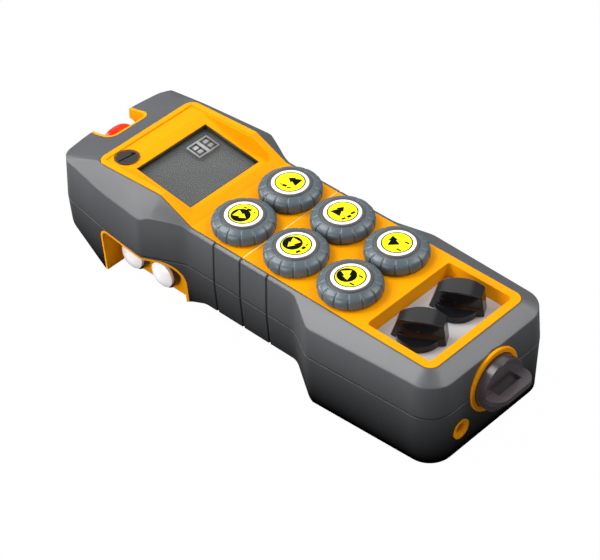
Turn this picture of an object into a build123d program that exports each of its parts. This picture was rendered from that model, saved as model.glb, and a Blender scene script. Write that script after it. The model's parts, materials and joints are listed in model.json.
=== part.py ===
"""Handheld industrial radio remote control, in millimetres.

+Y points to the head with the stop button, -Y to the tail with the key, +Z up from the surface
that the control lies on. The origin is under the middle of the whole length.
"""
import os
from math import atan2, cos, degrees, radians, sin, tan

from build123d import *

os.makedirs("parts", exist_ok=True)

# Plan of the casing at the parting line
head_end_y = 112.7
head_bow = 5.0
head_end_half = 33.2
head_side_y = 83.6
head_side_half = 38.0
head_wide_y = 55.9
head_wide_half = 40.5
grip_front_y = 37.2
grip_back_y = -25.4
grip_half = 31.5
tail_wide_y = -39.4
tail_wide_half = 39.4
tail_end_y = -105.0
tail_end_half = 36.2
head_corner_r = 10.0
end_bow_r = 150.0
head_side_r = 150.0
head_wide_r = 6.0
waist_r = 9.0
tail_wide_r = 8.0
tail_corner_r = 12.0
draft = 3.0

# Heights
parting_z = 25.5
seal_t = 0.6
panel_z = 45.5
rim_front_z = 53.4
rim_back_z = 51.1
grip_floor_z = 8.5

# Yellow panel
panel_half = 28.6
panel_gap = 0.2
panel_front_y = -97.1
panel_back_y = 92.6
panel_corner_r = 4.5
panel_t = 2.5
ramp_start_y = 35.0
ramp_end_y = 52.6
rim_band = 2.8
rim_step = 0.5
seam_y = 5.1
seam_w = 0.4
seam_d = 0.2

# Sloping facets between the panel and the flanks
side_slope = 0.526
end_slope = 0.704
head_slope = 0.79
head_back_slope = 0.84
facet_base_z = 37.5
facet_corner_r = 16.0
head_ridge_y = 111.4
head_ridge_half = 32.2
head_ridge_z = 45.9
head_tip_drop = 1.1

# Underside
under_front_y = 85.2
under_ramp_end_y = 109.0
under_ramp_z = 12.1
under_head_y = 46.0
under_waist_y = 27.5
under_tail_y = -41.0
under_grip_y = -26.0
under_lip_rise = 8.0
under_floor_rise = 5.0

# Grooves on the grip's flanks
groove_count = 3
groove_pitch = 15.2
groove_w = 1.1
groove_d = 0.6
groove_facet_d = 0.35

# Display
bezel_half = 25.0
bezel_lip_y = 39.7
bezel_r = 3.0
window_front_y = 43.6
window_front_z = 46.4
window_back_y = 76.0
window_back_z = 50.5
window_half = 20.75
window_lip = 2.2
lens_t = 1.5
lens_margin = 1.5
display_t = 4.0

# Push-buttons
button_x = 14.0
button_middle_y = -11.4
button_pitch = 30.0
button_rows = 3
button_travel = 3.4
boot_r = 13.8
boot_foot_r = 12.8
boot_shoulder_r = 11.4
boot_h = 6.6
boot_wide_h = 1.7
boot_wall = 1.2
boot_neck_r = 9.7
boot_lip = 1.2
boot_lip_t = 1.0
legend_r = 8.2
legend_gap = 0.3
legend_t = 2.0
legend_h = 7.0
boot_ring_w = 1.0
plunger_r = 3.25
plunger_hub_r = 6.4
plunger_hub_h = 1.5
plunger_tip_gap = 1.6
switch_w = 13.0
switch_h = 11.0
spring_r = 5.2
spring_wire = 0.4
spring_turns = 4
run_gap = 0.06

# Selector pocket and rotary selectors
pocket_half = 24.9
pocket_front_y = -93.2
pocket_back_y = -60.0
pocket_r = 1.6
pocket_floor_z = 38.5
floor_plate_t = 0.8
pocket_floor_t = 2.0
selector_x = 11.6
selector_y = -75.9
selector_angle = 30.0
skirt_r = 9.3
skirt_h = 3.0
blade_half = 11.5
blade_w = 4.6
blade_tail_w = 3.0
blade_nose_w = 0.7
blade_nose_rake = 3.3
blade_tail_rake = 1.0
blade_h = 10.3
blade_arch = 1.9
dish_r = 8.0
dish_depth = 1.6
dish_z = 6.5
knob_gap = 0.3
shaft_r = 3.0
shaft_seat = 3.0
selector_switch_w = 15.0

# Stop button in the head's end
stop_z = 29.6
stop_r = 12.5
stop_edge_y = 114.2
stop_dome = 3.5
stop_skirt = 7.2
stop_lip = 0.8
stop_stem_r = 4.0
stop_travel = 3.5
socket_r = 16.6
socket_floor_y = 101.1
guard_t = 1.4
notch_half = 12.2
notch_r = 5.0
contact_block = 17.0
contact_depth = 11.0

# Side recess in the left flank and its two push-buttons
recess_back_y = 83.1
recess_front_y = 39.1
recess_top_z = 23.4
recess_back_r = 4.5
recess_front_r = 10.0
recess_wall_x = -26.0
liner_t = 1.2
side_wall_t = 2.5
side_pitch = 18.7
side_middle_y = 64.2
side_z = 9.0
cap_r = 6.2
cap_dome = 2.1
cap_side = 1.5
cap_travel = 1.5
collar_r = 7.2
collar_h = 3.0
collar_base = 1.0
side_stem_r = 2.5

# Key in the tail face
key_z = 26.0
key_r = 12.0
key_face_y = -110.4
key_reach_y = -117.7
key_plate_t = 2.5
key_plate_low = 1.3
key_plate_r = 6.0
key_slot_w = 14.0
key_slot_d = 3.0
key_shank_r = 4.0
rotor_r = 7.0
rotor_length = 9.5
key_switch_r = 9.2
surround_r = 14.4
surround_depth = 4.0
surround_proud = 0.6
key_back_y = -101.4
key_switch_end_y = -88.0

# Bush in the tail face
bush_x = -19.0
bush_z = 12.0
bush_r = 4.6
bush_bore_r = 2.2
bush_sink_r = 3.5
bush_len = 8.0

# Slotted plug on the head
plug_x = -18.5
plug_y = 84.1
plug_r = 4.8
plug_t = 2.0
plug_ring_w = 1.0
plug_slot_w = 0.8
plug_slot_angle = -8.0
plug_slot_d = 0.6
plug_stem_r = 2.5

# Inside
wall = 3.0
cut_past = 1.0
cavity_half = 26.1
board_z = 22.4
board_t = 1.6
board_side_gap = 1.6
board_half = cavity_half - board_side_gap
board_back_y = 76.0
board_front_y = -85.0
post_r = 3.0
post_x = 20.0
post_front_y = -38.0
post_back_y = 30.0
post_root_z = 8.0
radio_length = 26.0
radio_width = 20.0
radio_h = 3.2
radio_x = -2.0
radio_y = 54.0
antenna_r = 2.2
antenna_x = 19.0
antenna_length = 40.0
antenna_y = 50.0
screw_r = 1.5
screw_head_r = 2.75
screw_head_h = 2.5
screw_seat_z = 6.5
screw_socket_r = 1.25
screw_socket_d = 1.4
screw_tip = 0.5
screw_x = 31.6
screw_front_y = -88.0
screw_back_y = 88.0
screw_top_z = 33.0

# Battery under the tail
door_half = 21.0
door_front_y = -93.0
door_back_y = -43.0
door_t = 2.6
door_gap = 0.25
door_r = 3.0
door_ledge_z = 5.0
door_ledge_w = 7.0
door_head_h = 1.5
door_screw_tip_z = 8.5
door_post_z = 9.2
battery_half = 17.5
battery_h = 15.5
battery_gap = 0.5
battery_r = 3.0
contacts_x = 11.0
contacts_w = 12.0
contacts_t = 3.0
contacts_h = 12.0
contact_count = 3
contact_pitch = 4.0
contact_w = 1.6


def plan_points():
    """Corners of the casing's plan, right side from the tail to the head, with their fillets."""
    return [
        (tail_end_half, tail_end_y, tail_corner_r),
        (tail_wide_half, tail_wide_y, tail_wide_r),
        (grip_half, grip_back_y, waist_r),
        (grip_half, grip_front_y, waist_r),
        (head_wide_half, head_wide_y, head_wide_r),
        (head_side_half, head_side_y, head_side_r),
        (head_end_half, head_end_y, head_corner_r),
    ]


def plan_sketch(height, inset=0.0):
    """The casing's plan as a sketch at a height."""
    right = plan_points()
    crown = [(0.0, head_end_y + head_bow, end_bow_r)]
    left = [(-x, y, r) for x, y, r in reversed(right)]
    corners = right + crown + left
    with BuildSketch(Plane.XY.offset(height)) as plan:
        with BuildLine():
            FilletPolyline(*[(x, y) for x, y, r in corners], radius=[r for x, y, r in corners], close=True)
        make_face()
        if inset:
            offset(amount=-inset, kind=Kind.INTERSECTION)
    return plan.sketch


def panel_sketch(height, inset=0.0):
    """The panel's outline, a long rectangle with round corners, at a height."""
    length = panel_back_y - panel_front_y - 2 * inset
    middle = (panel_back_y + panel_front_y) / 2
    with BuildSketch(Plane.XY.offset(height)) as outline:
        with Locations((0, middle)):
            RectangleRounded(2 * (panel_half - inset), length, panel_corner_r - inset)
    return outline.sketch


# Slope of the raised rim towards the head's end, and of the tilted display bezel
rim_slope = (rim_front_z - rim_back_z) / (panel_back_y - ramp_end_y)
bezel_slope = (window_back_z - window_front_z) / (window_back_y - window_front_y)
bezel_tilt = degrees(atan2(window_back_z - window_front_z, window_back_y - window_front_y))
bezel_front_y = window_front_y - (window_front_z - panel_z) / bezel_slope


def bezel_z(y):
    """Height of the tilted bezel at a place along the control."""
    return window_front_z + bezel_slope * (y - window_front_y)


def rim_z(y):
    """Height of the raised rim at a place along the head."""
    return rim_front_z - rim_slope * (y - ramp_end_y)


bezel_end_y = (rim_front_z + rim_slope * ramp_end_y - window_front_z + bezel_slope * window_front_y) / (
    rim_slope + bezel_slope
)
window_y = (window_front_y + window_back_y) / 2
bezel_plane = Plane(
    origin=(0, window_y, bezel_z(window_y)),
    x_dir=(1, 0, 0),
    z_dir=(0, -sin(radians(bezel_tilt)), cos(radians(bezel_tilt))),
)
rim_tilt = degrees(atan2(rim_slope, 1))
plug_plane = Plane(
    origin=(plug_x, plug_y, rim_z(plug_y) - rim_step),
    x_dir=(1, 0, 0),
    z_dir=(0, sin(radians(rim_tilt)), cos(radians(rim_tilt))),
)
button_y = [button_middle_y + (row - (button_rows - 1) / 2) * button_pitch for row in range(button_rows)]
button_places = [(side * button_x, y) for y in reversed(button_y) for side in (-1, 1)]
selector_places = [(-selector_x, selector_y), (selector_x, selector_y)]
side_places = [side_middle_y + side_pitch / 2, side_middle_y - side_pitch / 2]
screw_places = [(side * screw_x, y) for y in (screw_front_y, screw_back_y) for side in (-1, 1)]
lower_top_z = parting_z - seal_t / 2
upper_bottom_z = parting_z + seal_t / 2
board_top_z = board_z + board_t
plunger_end_z = board_top_z + cut_past + button_travel + plunger_tip_gap
draft_slope = tan(radians(draft))
far = 60.0

# Outer form of the upper casing: drafted walls cut off by a faceted roof
with BuildPart() as upper_walls:
    add(plan_sketch(upper_bottom_z))
    extrude(amount=rim_front_z - upper_bottom_z + 2, taper=draft)

with BuildPart() as tail_roof:
    with BuildSketch(Plane.XY.offset(panel_z)) as roof_top:
        with BuildLine():
            FilletPolyline(
                (-panel_half, ramp_start_y),
                (-panel_half, panel_front_y),
                (panel_half, panel_front_y),
                (panel_half, ramp_start_y),
                radius=panel_corner_r,
            )
            Line((panel_half, ramp_start_y), (-panel_half, ramp_start_y))
        make_face()
    facet_drop = panel_z - facet_base_z
    base_half = panel_half + facet_drop / side_slope
    base_front_y = panel_front_y - facet_drop / end_slope
    with BuildSketch(Plane.XY.offset(facet_base_z)) as roof_base:
        with BuildLine():
            FilletPolyline(
                (-base_half, ramp_start_y),
                (-base_half, base_front_y),
                (base_half, base_front_y),
                (base_half, ramp_start_y),
                radius=facet_corner_r,
            )
            Line((base_half, ramp_start_y), (-base_half, ramp_start_y))
        make_face()
    loft(sections=[roof_base.sketch, roof_top.sketch], ruled=True)
    extrude(roof_base.sketch, amount=facet_base_z - upper_bottom_z + 1, dir=(0, 0, -1))

roof_stations = [
    (ramp_start_y, panel_half, panel_z, side_slope),
    (ramp_end_y, panel_half, rim_front_z, head_slope),
    (panel_back_y, panel_half, rim_back_z, head_back_slope),
    (head_ridge_y, head_ridge_half, head_ridge_z, head_back_slope),
    (head_end_y + head_bow + 2, head_ridge_half, head_ridge_z - head_tip_drop, head_back_slope),
]
with BuildPart() as head_roof:
    for station_y, half, top, slope in roof_stations:
        edge_z = top - (far - half) * slope
        with BuildSketch(Plane.XZ.offset(-station_y)):
            with BuildLine():
                Polyline((-far, 0), (far, 0), (far, edge_z), (half, top), (-half, top), (-far, edge_z), close=True)
            make_face()
    loft(ruled=True)



def stop_form(inset):
    """The notch over the stop button and the round socket that the button stands in."""
    half = notch_half - inset
    floor_y = socket_floor_y + inset
    with BuildPart() as form:
        with BuildSketch(Plane.XY.offset(stop_z)):
            with BuildLine():
                FilletPolyline(
                    (-half, head_end_y + far),
                    (-half, floor_y),
                    (half, floor_y),
                    (half, head_end_y + far),
                    radius=notch_r - inset,
                )
                Line((half, head_end_y + far), (-half, head_end_y + far))
            make_face()
        extrude(amount=far)
        with BuildSketch(Plane.XZ.offset(-floor_y)):
            with Locations((0, stop_z)):
                Circle(socket_r - inset)
        extrude(amount=-far)
    return form.part


with BuildPart() as stop_space:
    add(stop_form(0.0))
    with BuildSketch(Plane.XZ.offset(-(panel_back_y - panel_t - 1))):
        with Locations((0, stop_z)):
            Circle(stop_stem_r + 1)
    extrude(amount=-(socket_floor_y - panel_back_y + panel_t + 2))

# The stepped bore for the key switch and its surround
with BuildPart() as key_space:
    with BuildSketch(Plane.XZ.offset(-key_switch_end_y)):
        with Locations((0, key_z)):
            Circle(key_switch_r + panel_gap)
    extrude(amount=far)
    with BuildSketch(Plane.XZ.offset(-tail_end_y - surround_depth)):
        with Locations((0, key_z)):
            Circle(surround_r + panel_gap / 2)
    extrude(amount=far)

with BuildPart() as screw_space:
    with BuildSketch(Plane.XY):
        with Locations(*screw_places):
            Circle(screw_r + run_gap)
    extrude(amount=screw_top_z)

# Grooves that follow the drafted flank up to the crease, then run shallow over the facet
wall_rise = panel_z - upper_bottom_z
crease_half = grip_half - (wall_rise + panel_half * side_slope) * draft_slope
crease_half = crease_half / (1 - side_slope * draft_slope)
crease_z = panel_z - (crease_half - panel_half) * side_slope
groove_corners = [
    (grip_half - groove_d - lower_top_z * draft_slope, 0.0),
    (grip_half - groove_d, lower_top_z),
    (grip_half - groove_d, upper_bottom_z),
    (crease_half - groove_d, crease_z - groove_facet_d),
    (panel_half, panel_z - groove_facet_d),
    (panel_half, panel_z + cut_past),
    (grip_half + cut_past, panel_z + cut_past),
    (grip_half + cut_past, 0.0),
]
with BuildPart() as groove_space:
    for side in (-1, 1):
        for step in range(groove_count):
            groove_y = seam_y + (step - (groove_count - 1) / 2) * groove_pitch
            with BuildSketch(Plane.XZ.offset(-groove_y - groove_w / 2)):
                with BuildLine():
                    Polyline(*[(side * x, z) for x, z in groove_corners], close=True)
                make_face()
            extrude(amount=groove_w)

with BuildPart() as upper_form:
    add(upper_walls.part)
    add(tail_roof.part + head_roof.part, mode=Mode.INTERSECT)

# Upper casing, a grey frame round the panel
with BuildPart() as upper_shell:
    add(upper_form.part)
    with BuildSketch(Plane.XY):
        add(panel_sketch(0, inset=-panel_gap))
    extrude(amount=far + panel_z, mode=Mode.SUBTRACT)
    add(stop_space.part, mode=Mode.SUBTRACT)
    add(key_space.part, mode=Mode.SUBTRACT)
    add(screw_space.part, mode=Mode.SUBTRACT)
    add(groove_space.part, mode=Mode.SUBTRACT)
upper_shell.part.label = "upper_shell"
export_step(upper_shell.part, "parts/upper_shell.step")

# Outer form of the lower casing, with the raised grip and the swept-up head
with BuildPart() as lower_walls:
    add(plan_sketch(lower_top_z))
    extrude(amount=lower_top_z, taper=draft, dir=(0, 0, -1))
    with BuildSketch(Plane.YZ.offset(-far)):
        with BuildLine():
            FilletPolyline(
                (under_tail_y, 0),
                (under_grip_y, grip_floor_z),
                (under_waist_y, grip_floor_z),
                (under_head_y, 0),
                radius=waist_r,
            )
            Line((under_head_y, 0), (under_tail_y, 0))
        make_face()
    extrude(amount=2 * far, mode=Mode.SUBTRACT)
    with BuildSketch(Plane.YZ.offset(-far)):
        with BuildLine():
            FilletPolyline(
                (under_front_y, 0),
                (under_ramp_end_y, under_ramp_z),
                (head_end_y + 1, under_ramp_z + under_lip_rise),
                (head_end_y + far, parting_z),
                (head_end_y + far, -1),
                (under_front_y, -1),
                radius=[0, waist_r, 2, 0, 0, 0],
                close=True,
            )
        make_face()
    extrude(amount=2 * far, mode=Mode.SUBTRACT)

# Overall outer form, that the liners are trimmed to
with BuildPart() as seal_slab:
    add(plan_sketch(lower_top_z))
    extrude(amount=seal_t)
outer_form = upper_form.part + lower_walls.part + seal_slab.part

# Recess in the left flank, open below

def recess_form(grow, depth_x):
    """The recess as a prism that reaches in to a place across the control."""
    corners = [
        (recess_back_y + grow, -1.0),
        (recess_back_y + grow, recess_top_z + grow),
        (recess_front_y - grow, recess_top_z + grow),
        (recess_front_y - grow, -1.0),
    ]
    with BuildPart() as form:
        with BuildSketch(Plane.YZ.offset(-far)):
            with BuildLine():
                FilletPolyline(*corners, radius=[0, recess_back_r + grow, recess_front_r + grow, 0], close=True)
            make_face()
        extrude(amount=far + depth_x)
    return form.part


recess_outer = recess_form(liner_t, recess_wall_x + liner_t)
recess_inner = recess_form(0.0, recess_wall_x)

# Hollow of the lower casing, with its floor one wall above the underside
battery_front_y = door_front_y + door_ledge_w + battery_gap
battery_back_y = door_back_y - door_ledge_w - battery_gap
with BuildPart() as lower_space:
    with BuildSketch(Plane.YZ.offset(-cavity_half)):
        with BuildLine():
            Polyline(
                (key_switch_end_y, parting_z),
                (key_switch_end_y, door_ledge_z),
                (under_tail_y - door_ledge_z, door_ledge_z),
                (under_grip_y - wall, grip_floor_z + wall),
                (under_waist_y + wall, grip_floor_z + wall),
                (under_head_y, wall),
                (under_front_y - 1, wall),
                (panel_back_y - 2, wall + under_floor_rise),
                (panel_back_y - 2, parting_z),
                close=True,
            )
        make_face()
    extrude(amount=2 * cavity_half)
    side_wall_x = recess_wall_x + liner_t + side_wall_t
    with BuildSketch(Plane.XY):
        with Locations((side_wall_x, (recess_front_y + recess_back_y) / 2)):
            Rectangle(
                far,
                recess_back_y - recess_front_y + 2 * (liner_t + side_wall_t),
                align=(Align.MAX, Align.CENTER),
            )
    extrude(amount=parting_z, mode=Mode.SUBTRACT)

door_length = door_back_y - door_front_y
door_y = (door_front_y + door_back_y) / 2
door_screw_places = [(0, door_front_y + door_ledge_w / 2), (0, door_back_y - door_ledge_w / 2)]
post_places = [(side * post_x, y) for y in (post_front_y, post_back_y) for side in (-1, 1)]

# Lower casing, grey
with BuildPart() as lower_shell:
    add(lower_walls.part)
    add(lower_space.part, mode=Mode.SUBTRACT)
    with BuildSketch(Plane.XY.offset(post_root_z)):
        with Locations(*post_places):
            Circle(post_r)
    extrude(amount=board_z - post_root_z)
    with BuildSketch(Plane.XY.offset(door_t)):
        with Locations(*door_screw_places):
            Circle(screw_head_r)
    extrude(amount=door_post_z - door_t)
    with BuildSketch(Plane.XY):
        with Locations((0, door_y)):
            RectangleRounded(2 * door_half, door_length, door_r)
    extrude(amount=door_t, mode=Mode.SUBTRACT)
    with BuildSketch(Plane.XY):
        with Locations((0, door_y)):
            Rectangle(2 * (battery_half + battery_gap), door_length - 2 * door_ledge_w)
    extrude(amount=door_ledge_z, mode=Mode.SUBTRACT)
    with BuildSketch(Plane.XY):
        with Locations(*door_screw_places):
            Circle(screw_r + run_gap)
    extrude(amount=door_post_z + 1, mode=Mode.SUBTRACT)
    with BuildSketch(Plane.XY):
        with Locations(*screw_places):
            Circle(screw_head_r + panel_gap)
    extrude(amount=screw_seat_z, mode=Mode.SUBTRACT)
    with BuildSketch(Plane.XZ.offset(-tail_end_y - bush_len)):
        with Locations((bush_x, bush_z)):
            Circle(bush_r + run_gap)
    extrude(amount=far, mode=Mode.SUBTRACT)
    side_bores = [(y, side_z) for y in side_places]
    with BuildSketch(Plane.YZ.offset(recess_wall_x)):
        with Locations(*side_bores):
            Circle(side_stem_r + knob_gap)
    extrude(amount=liner_t + side_wall_t + 1, mode=Mode.SUBTRACT)
    add(recess_outer, mode=Mode.SUBTRACT)
    add(stop_space.part, mode=Mode.SUBTRACT)
    add(key_space.part, mode=Mode.SUBTRACT)
    add(screw_space.part, mode=Mode.SUBTRACT)
    add(groove_space.part, mode=Mode.SUBTRACT)
lower_shell.part.label = "lower_shell"
export_step(lower_shell.part, "parts/lower_shell.step")

# Seal between the casings
with BuildPart() as case_seal:
    add(plan_sketch(lower_top_z, inset=seal_t))
    extrude(amount=seal_t)
    with BuildSketch(Plane.XY):
        add(panel_sketch(0, inset=-panel_gap))
    extrude(amount=far, mode=Mode.SUBTRACT)
    add(stop_space.part, mode=Mode.SUBTRACT)
    add(key_space.part, mode=Mode.SUBTRACT)
    add(screw_space.part, mode=Mode.SUBTRACT)
case_seal.part.label = "case_seal"
export_step(case_seal.part, "parts/case_seal.step")

# Yellow liner of the side recess, trimmed to the flank and the underside
with BuildPart() as side_recess_liner:
    add(recess_outer)
    add(recess_inner, mode=Mode.SUBTRACT)
    with BuildSketch(Plane.YZ.offset(recess_wall_x - 1)):
        with Locations(*side_bores):
            Circle(side_stem_r + knob_gap)
    extrude(amount=liner_t + 2, mode=Mode.SUBTRACT)
    add(lower_walls.part, mode=Mode.INTERSECT)
side_recess_liner.part.label = "side_recess_liner"
export_step(side_recess_liner.part, "parts/side_recess_liner.step")

# Yellow guard round the stop button, a notch above a round socket
with BuildPart() as stop_guard:
    add(stop_form(panel_gap / 2))
    add(stop_form(guard_t), mode=Mode.SUBTRACT)
    add(outer_form, mode=Mode.INTERSECT)
    with BuildSketch(Plane.XZ.offset(-socket_floor_y + 1)):
        with Locations((0, stop_z)):
            Circle(stop_stem_r + run_gap)
    extrude(amount=-(guard_t + 2 * cut_past), mode=Mode.SUBTRACT)
stop_guard.part.label = "stop_guard"
export_step(stop_guard.part, "parts/stop_guard.step")


def dome_point(half, rise, share):
    """Height on a spherical dome over its edge, at a share of its half width from the axis."""
    radius = (half**2 + rise**2) / (2 * rise)
    return (radius**2 - (half * share) ** 2) ** 0.5 - (radius - rise)


def side_profile(points, half):
    """A solid with a profile along the control, given as (y, z) corners, and a half width."""
    with BuildPart() as form:
        with BuildSketch(Plane.YZ.offset(-half)):
            with BuildLine():
                Polyline(*points, close=True)
            make_face()
        extrude(amount=2 * half)
    return form.part


# Yellow panel: a tray with a raised head, a tilted display bezel and a selector pocket
panel_outer = side_profile(
    [
        (panel_front_y, lower_top_z),
        (panel_front_y, panel_z),
        (ramp_start_y, panel_z),
        (ramp_end_y, rim_front_z),
        (panel_back_y, rim_z(panel_back_y)),
        (panel_back_y, lower_top_z),
    ],
    panel_half,
)
pocket_under_z = pocket_floor_z - floor_plate_t - pocket_floor_t
lip_drop = window_lip / cos(radians(bezel_tilt))
panel_hollow = side_profile(
    [
        (panel_front_y + panel_t, lower_top_z - 1),
        (panel_front_y + panel_t, pocket_under_z),
        (pocket_back_y + panel_t, pocket_under_z),
        (pocket_back_y + panel_t, panel_z - panel_t),
        (bezel_front_y + panel_t, panel_z - panel_t),
        (bezel_front_y + panel_t, bezel_z(bezel_front_y + panel_t) - lip_drop),
        (bezel_end_y, bezel_z(bezel_end_y) - lip_drop),
        (panel_back_y - panel_t, rim_z(panel_back_y - panel_t) - rim_step - panel_t),
        (panel_back_y - panel_t, lower_top_z - 1),
    ],
    cavity_half,
)
# Recess for the display with a round-cornered lip in front and the tilted bezel as its floor
with BuildPart() as bezel_recess:
    with BuildSketch(Plane.XY.offset(panel_z - cut_past)):
        with BuildLine():
            FilletPolyline(
                (-bezel_half, bezel_end_y),
                (-bezel_half, bezel_lip_y),
                (bezel_half, bezel_lip_y),
                (bezel_half, bezel_end_y),
                radius=bezel_r,
            )
            Line((bezel_half, bezel_end_y), (-bezel_half, bezel_end_y))
        make_face()
    extrude(amount=far)
    with BuildSketch(bezel_plane):
        Rectangle(2 * far, 4 * far)
    extrude(amount=-far, mode=Mode.SUBTRACT)
rim_recess = side_profile(
    [
        (ramp_end_y, rim_z(ramp_end_y) - rim_step),
        (panel_back_y - rim_band, rim_z(panel_back_y - rim_band) - rim_step),
        (panel_back_y - rim_band, far),
        (ramp_end_y, far),
    ],
    panel_half - rim_band,
)
window_length = (window_back_y - window_front_y) / cos(radians(bezel_tilt))

with BuildPart() as front_panel:
    with BuildSketch(Plane.XY):
        add(panel_sketch(0))
    extrude(amount=far)
    add(panel_outer, mode=Mode.INTERSECT)
    add(panel_hollow, mode=Mode.SUBTRACT)
    with BuildSketch(plug_plane):
        Circle(plug_r + plug_ring_w + 1.5)
    extrude(amount=-(plug_t + panel_t))
    with BuildSketch(bezel_plane.offset(-window_lip)):
        Rectangle(
            2 * (window_half + lens_margin + panel_gap),
            window_length + 2 * (lens_margin + panel_gap),
        )
    extrude(amount=-far / 4, mode=Mode.SUBTRACT)
    add(bezel_recess.part, mode=Mode.SUBTRACT)
    add(rim_recess, mode=Mode.SUBTRACT)
    with BuildSketch(plug_plane):
        Circle(plug_r + plug_ring_w)
    extrude(amount=-rim_step, mode=Mode.SUBTRACT)
    with BuildSketch(plug_plane):
        Circle(plug_r + panel_gap)
    extrude(amount=-plug_t, mode=Mode.SUBTRACT)
    with BuildSketch(plug_plane):
        Circle(plug_stem_r + run_gap)
    extrude(amount=-far / 4, mode=Mode.SUBTRACT)
    with BuildSketch(bezel_plane):
        Rectangle(2 * window_half, window_length)
    extrude(amount=-2 * window_lip, mode=Mode.SUBTRACT)
    with BuildSketch(Plane.XY.offset(pocket_floor_z - floor_plate_t)):
        with Locations((0, (pocket_front_y + pocket_back_y) / 2)):
            RectangleRounded(2 * pocket_half, pocket_back_y - pocket_front_y, pocket_r)
    extrude(amount=far, mode=Mode.SUBTRACT)
    with BuildSketch(Plane.XY.offset(pocket_under_z - 1)):
        with Locations(*selector_places):
            Circle(shaft_r + knob_gap)
    extrude(amount=pocket_floor_t + 2, mode=Mode.SUBTRACT)
    with BuildSketch(Plane.XY.offset(panel_z - panel_t - 1)):
        with Locations(*button_places):
            Circle(boot_neck_r + panel_gap)
    extrude(amount=panel_t + 2, mode=Mode.SUBTRACT)
    with BuildSketch(Plane.XY.offset(panel_z)):
        with Locations((0, seam_y)):
            Rectangle(2 * panel_half, seam_w)
    extrude(amount=-seam_d, mode=Mode.SUBTRACT)
    add(stop_space.part, mode=Mode.SUBTRACT)
    add(key_space.part, mode=Mode.SUBTRACT)
front_panel.part.label = "front_panel"
export_step(front_panel.part, "parts/front_panel.step")

# Pale plate on the pocket's floor
with BuildPart() as pocket_plate:
    with BuildSketch(Plane.XY.offset(pocket_floor_z - floor_plate_t)):
        with Locations((0, (pocket_front_y + pocket_back_y) / 2)):
            RectangleRounded(
                2 * (pocket_half - panel_gap),
                pocket_back_y - pocket_front_y - 2 * panel_gap,
                pocket_r,
            )
        with Locations(*selector_places):
            Circle(shaft_r + knob_gap, mode=Mode.SUBTRACT)
    extrude(amount=floor_plate_t)
pocket_plate.part.label = "pocket_plate"
export_step(pocket_plate.part, "parts/pocket_plate.step")

# Display: a clear window glued under the bezel, and the module behind it
with BuildPart() as display_window:
    with BuildSketch(bezel_plane.offset(-window_lip)):
        Rectangle(2 * (window_half + lens_margin), window_length + 2 * lens_margin)
    extrude(amount=-lens_t)
display_window.part.label = "display_window"
export_step(display_window.part, "parts/display_window.step")

with BuildPart() as display_module:
    with BuildSketch(bezel_plane.offset(-window_lip - lens_t)):
        Rectangle(2 * (window_half + 1), window_length + 2)
    extrude(amount=-display_t)
    chamfer(display_module.edges().group_by(Axis.Z)[0], 0.5)
display_module.part.label = "display_module"
export_step(display_module.part, "parts/display_module.step")


def make_boot(x, y):
    """Rubber boot of a push-button: a bellows bulge on a foot, with a neck clipped into the panel."""
    ring_r = legend_r + legend_gap
    neck_inner_r = boot_neck_r - boot_wall
    lip_top = -panel_t - panel_gap / 2
    with BuildPart() as boot:
        with BuildSketch(Plane((x, y, panel_z), x_dir=(1, 0, 0), z_dir=(0, -1, 0))):
            with BuildLine():
                Polyline((ring_r, boot_h), (ring_r + boot_ring_w, boot_h), (boot_shoulder_r, boot_h - 0.6))
                ThreePointArc(
                    (boot_shoulder_r, boot_h - 0.6),
                    (boot_r - 0.35, (boot_h + boot_wide_h) / 2 + 0.4),
                    (boot_r, boot_wide_h),
                )
                ThreePointArc((boot_r, boot_wide_h), (boot_r - 0.25, boot_wide_h / 2), (boot_foot_r, 0))
                Polyline(
                    (boot_foot_r, 0),
                    (boot_neck_r, 0),
                    (boot_neck_r, lip_top),
                    (boot_neck_r + boot_lip, lip_top),
                    (boot_neck_r + boot_lip, lip_top - boot_lip_t),
                    (neck_inner_r, lip_top - boot_lip_t),
                    (neck_inner_r, boot_wall),
                    (boot_r - 1.4 * boot_wall, boot_wall),
                )
                Polyline(
                    (boot_r - 1.4 * boot_wall, boot_wall),
                    (boot_r - 1.6 * boot_wall, boot_h / 2 + 0.2),
                    (boot_shoulder_r - boot_wall, boot_h - 1.6 * boot_wall),
                    (ring_r, boot_h - 1.6 * boot_wall),
                    (ring_r, boot_h),
                )
            make_face()
        revolve(axis=Axis((x, y, 0), (0, 0, 1)))
    return boot.part


def make_plunger(x, y):
    """Hard plunger of a push-button, with the legend disc on top and a stem into the switch."""
    top = legend_h
    under = top - legend_t
    with BuildPart() as plunger:
        with BuildSketch(Plane((x, y, panel_z), x_dir=(1, 0, 0), z_dir=(0, -1, 0))):
            with BuildLine():
                Polyline(
                    (0, plunger_end_z - panel_z),
                    (plunger_r, plunger_end_z - panel_z),
                    (plunger_r, under - plunger_hub_h),
                    (plunger_hub_r, under - plunger_hub_h),
                    (plunger_hub_r, under),
                    (legend_r, under),
                    (legend_r, top - 0.3),
                    (legend_r - 0.3, top),
                    (0, top),
                    close=True,
                )
            make_face()
        revolve(axis=Axis((x, y, 0), (0, 0, 1)))
    return plunger.part


spring_low_z = board_top_z + switch_h
spring_high_z = panel_z + legend_h - legend_t - plunger_hub_h


def make_spring(x, y):
    """Return spring round a plunger, from the switch up to the plunger's hub."""
    height = spring_high_z - spring_low_z - 2 * spring_wire
    with BuildPart() as spring:
        with BuildLine():
            Helix(height / spring_turns, height, spring_r, center=(x, y, spring_low_z + spring_wire))
        with BuildSketch(Plane((x + spring_r, y, spring_low_z + spring_wire), x_dir=(1, 0, 0), z_dir=(0, 1, 0))):
            Rectangle(2 * spring_wire, 2 * spring_wire)
        sweep(is_frenet=True)
    return spring.part


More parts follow.
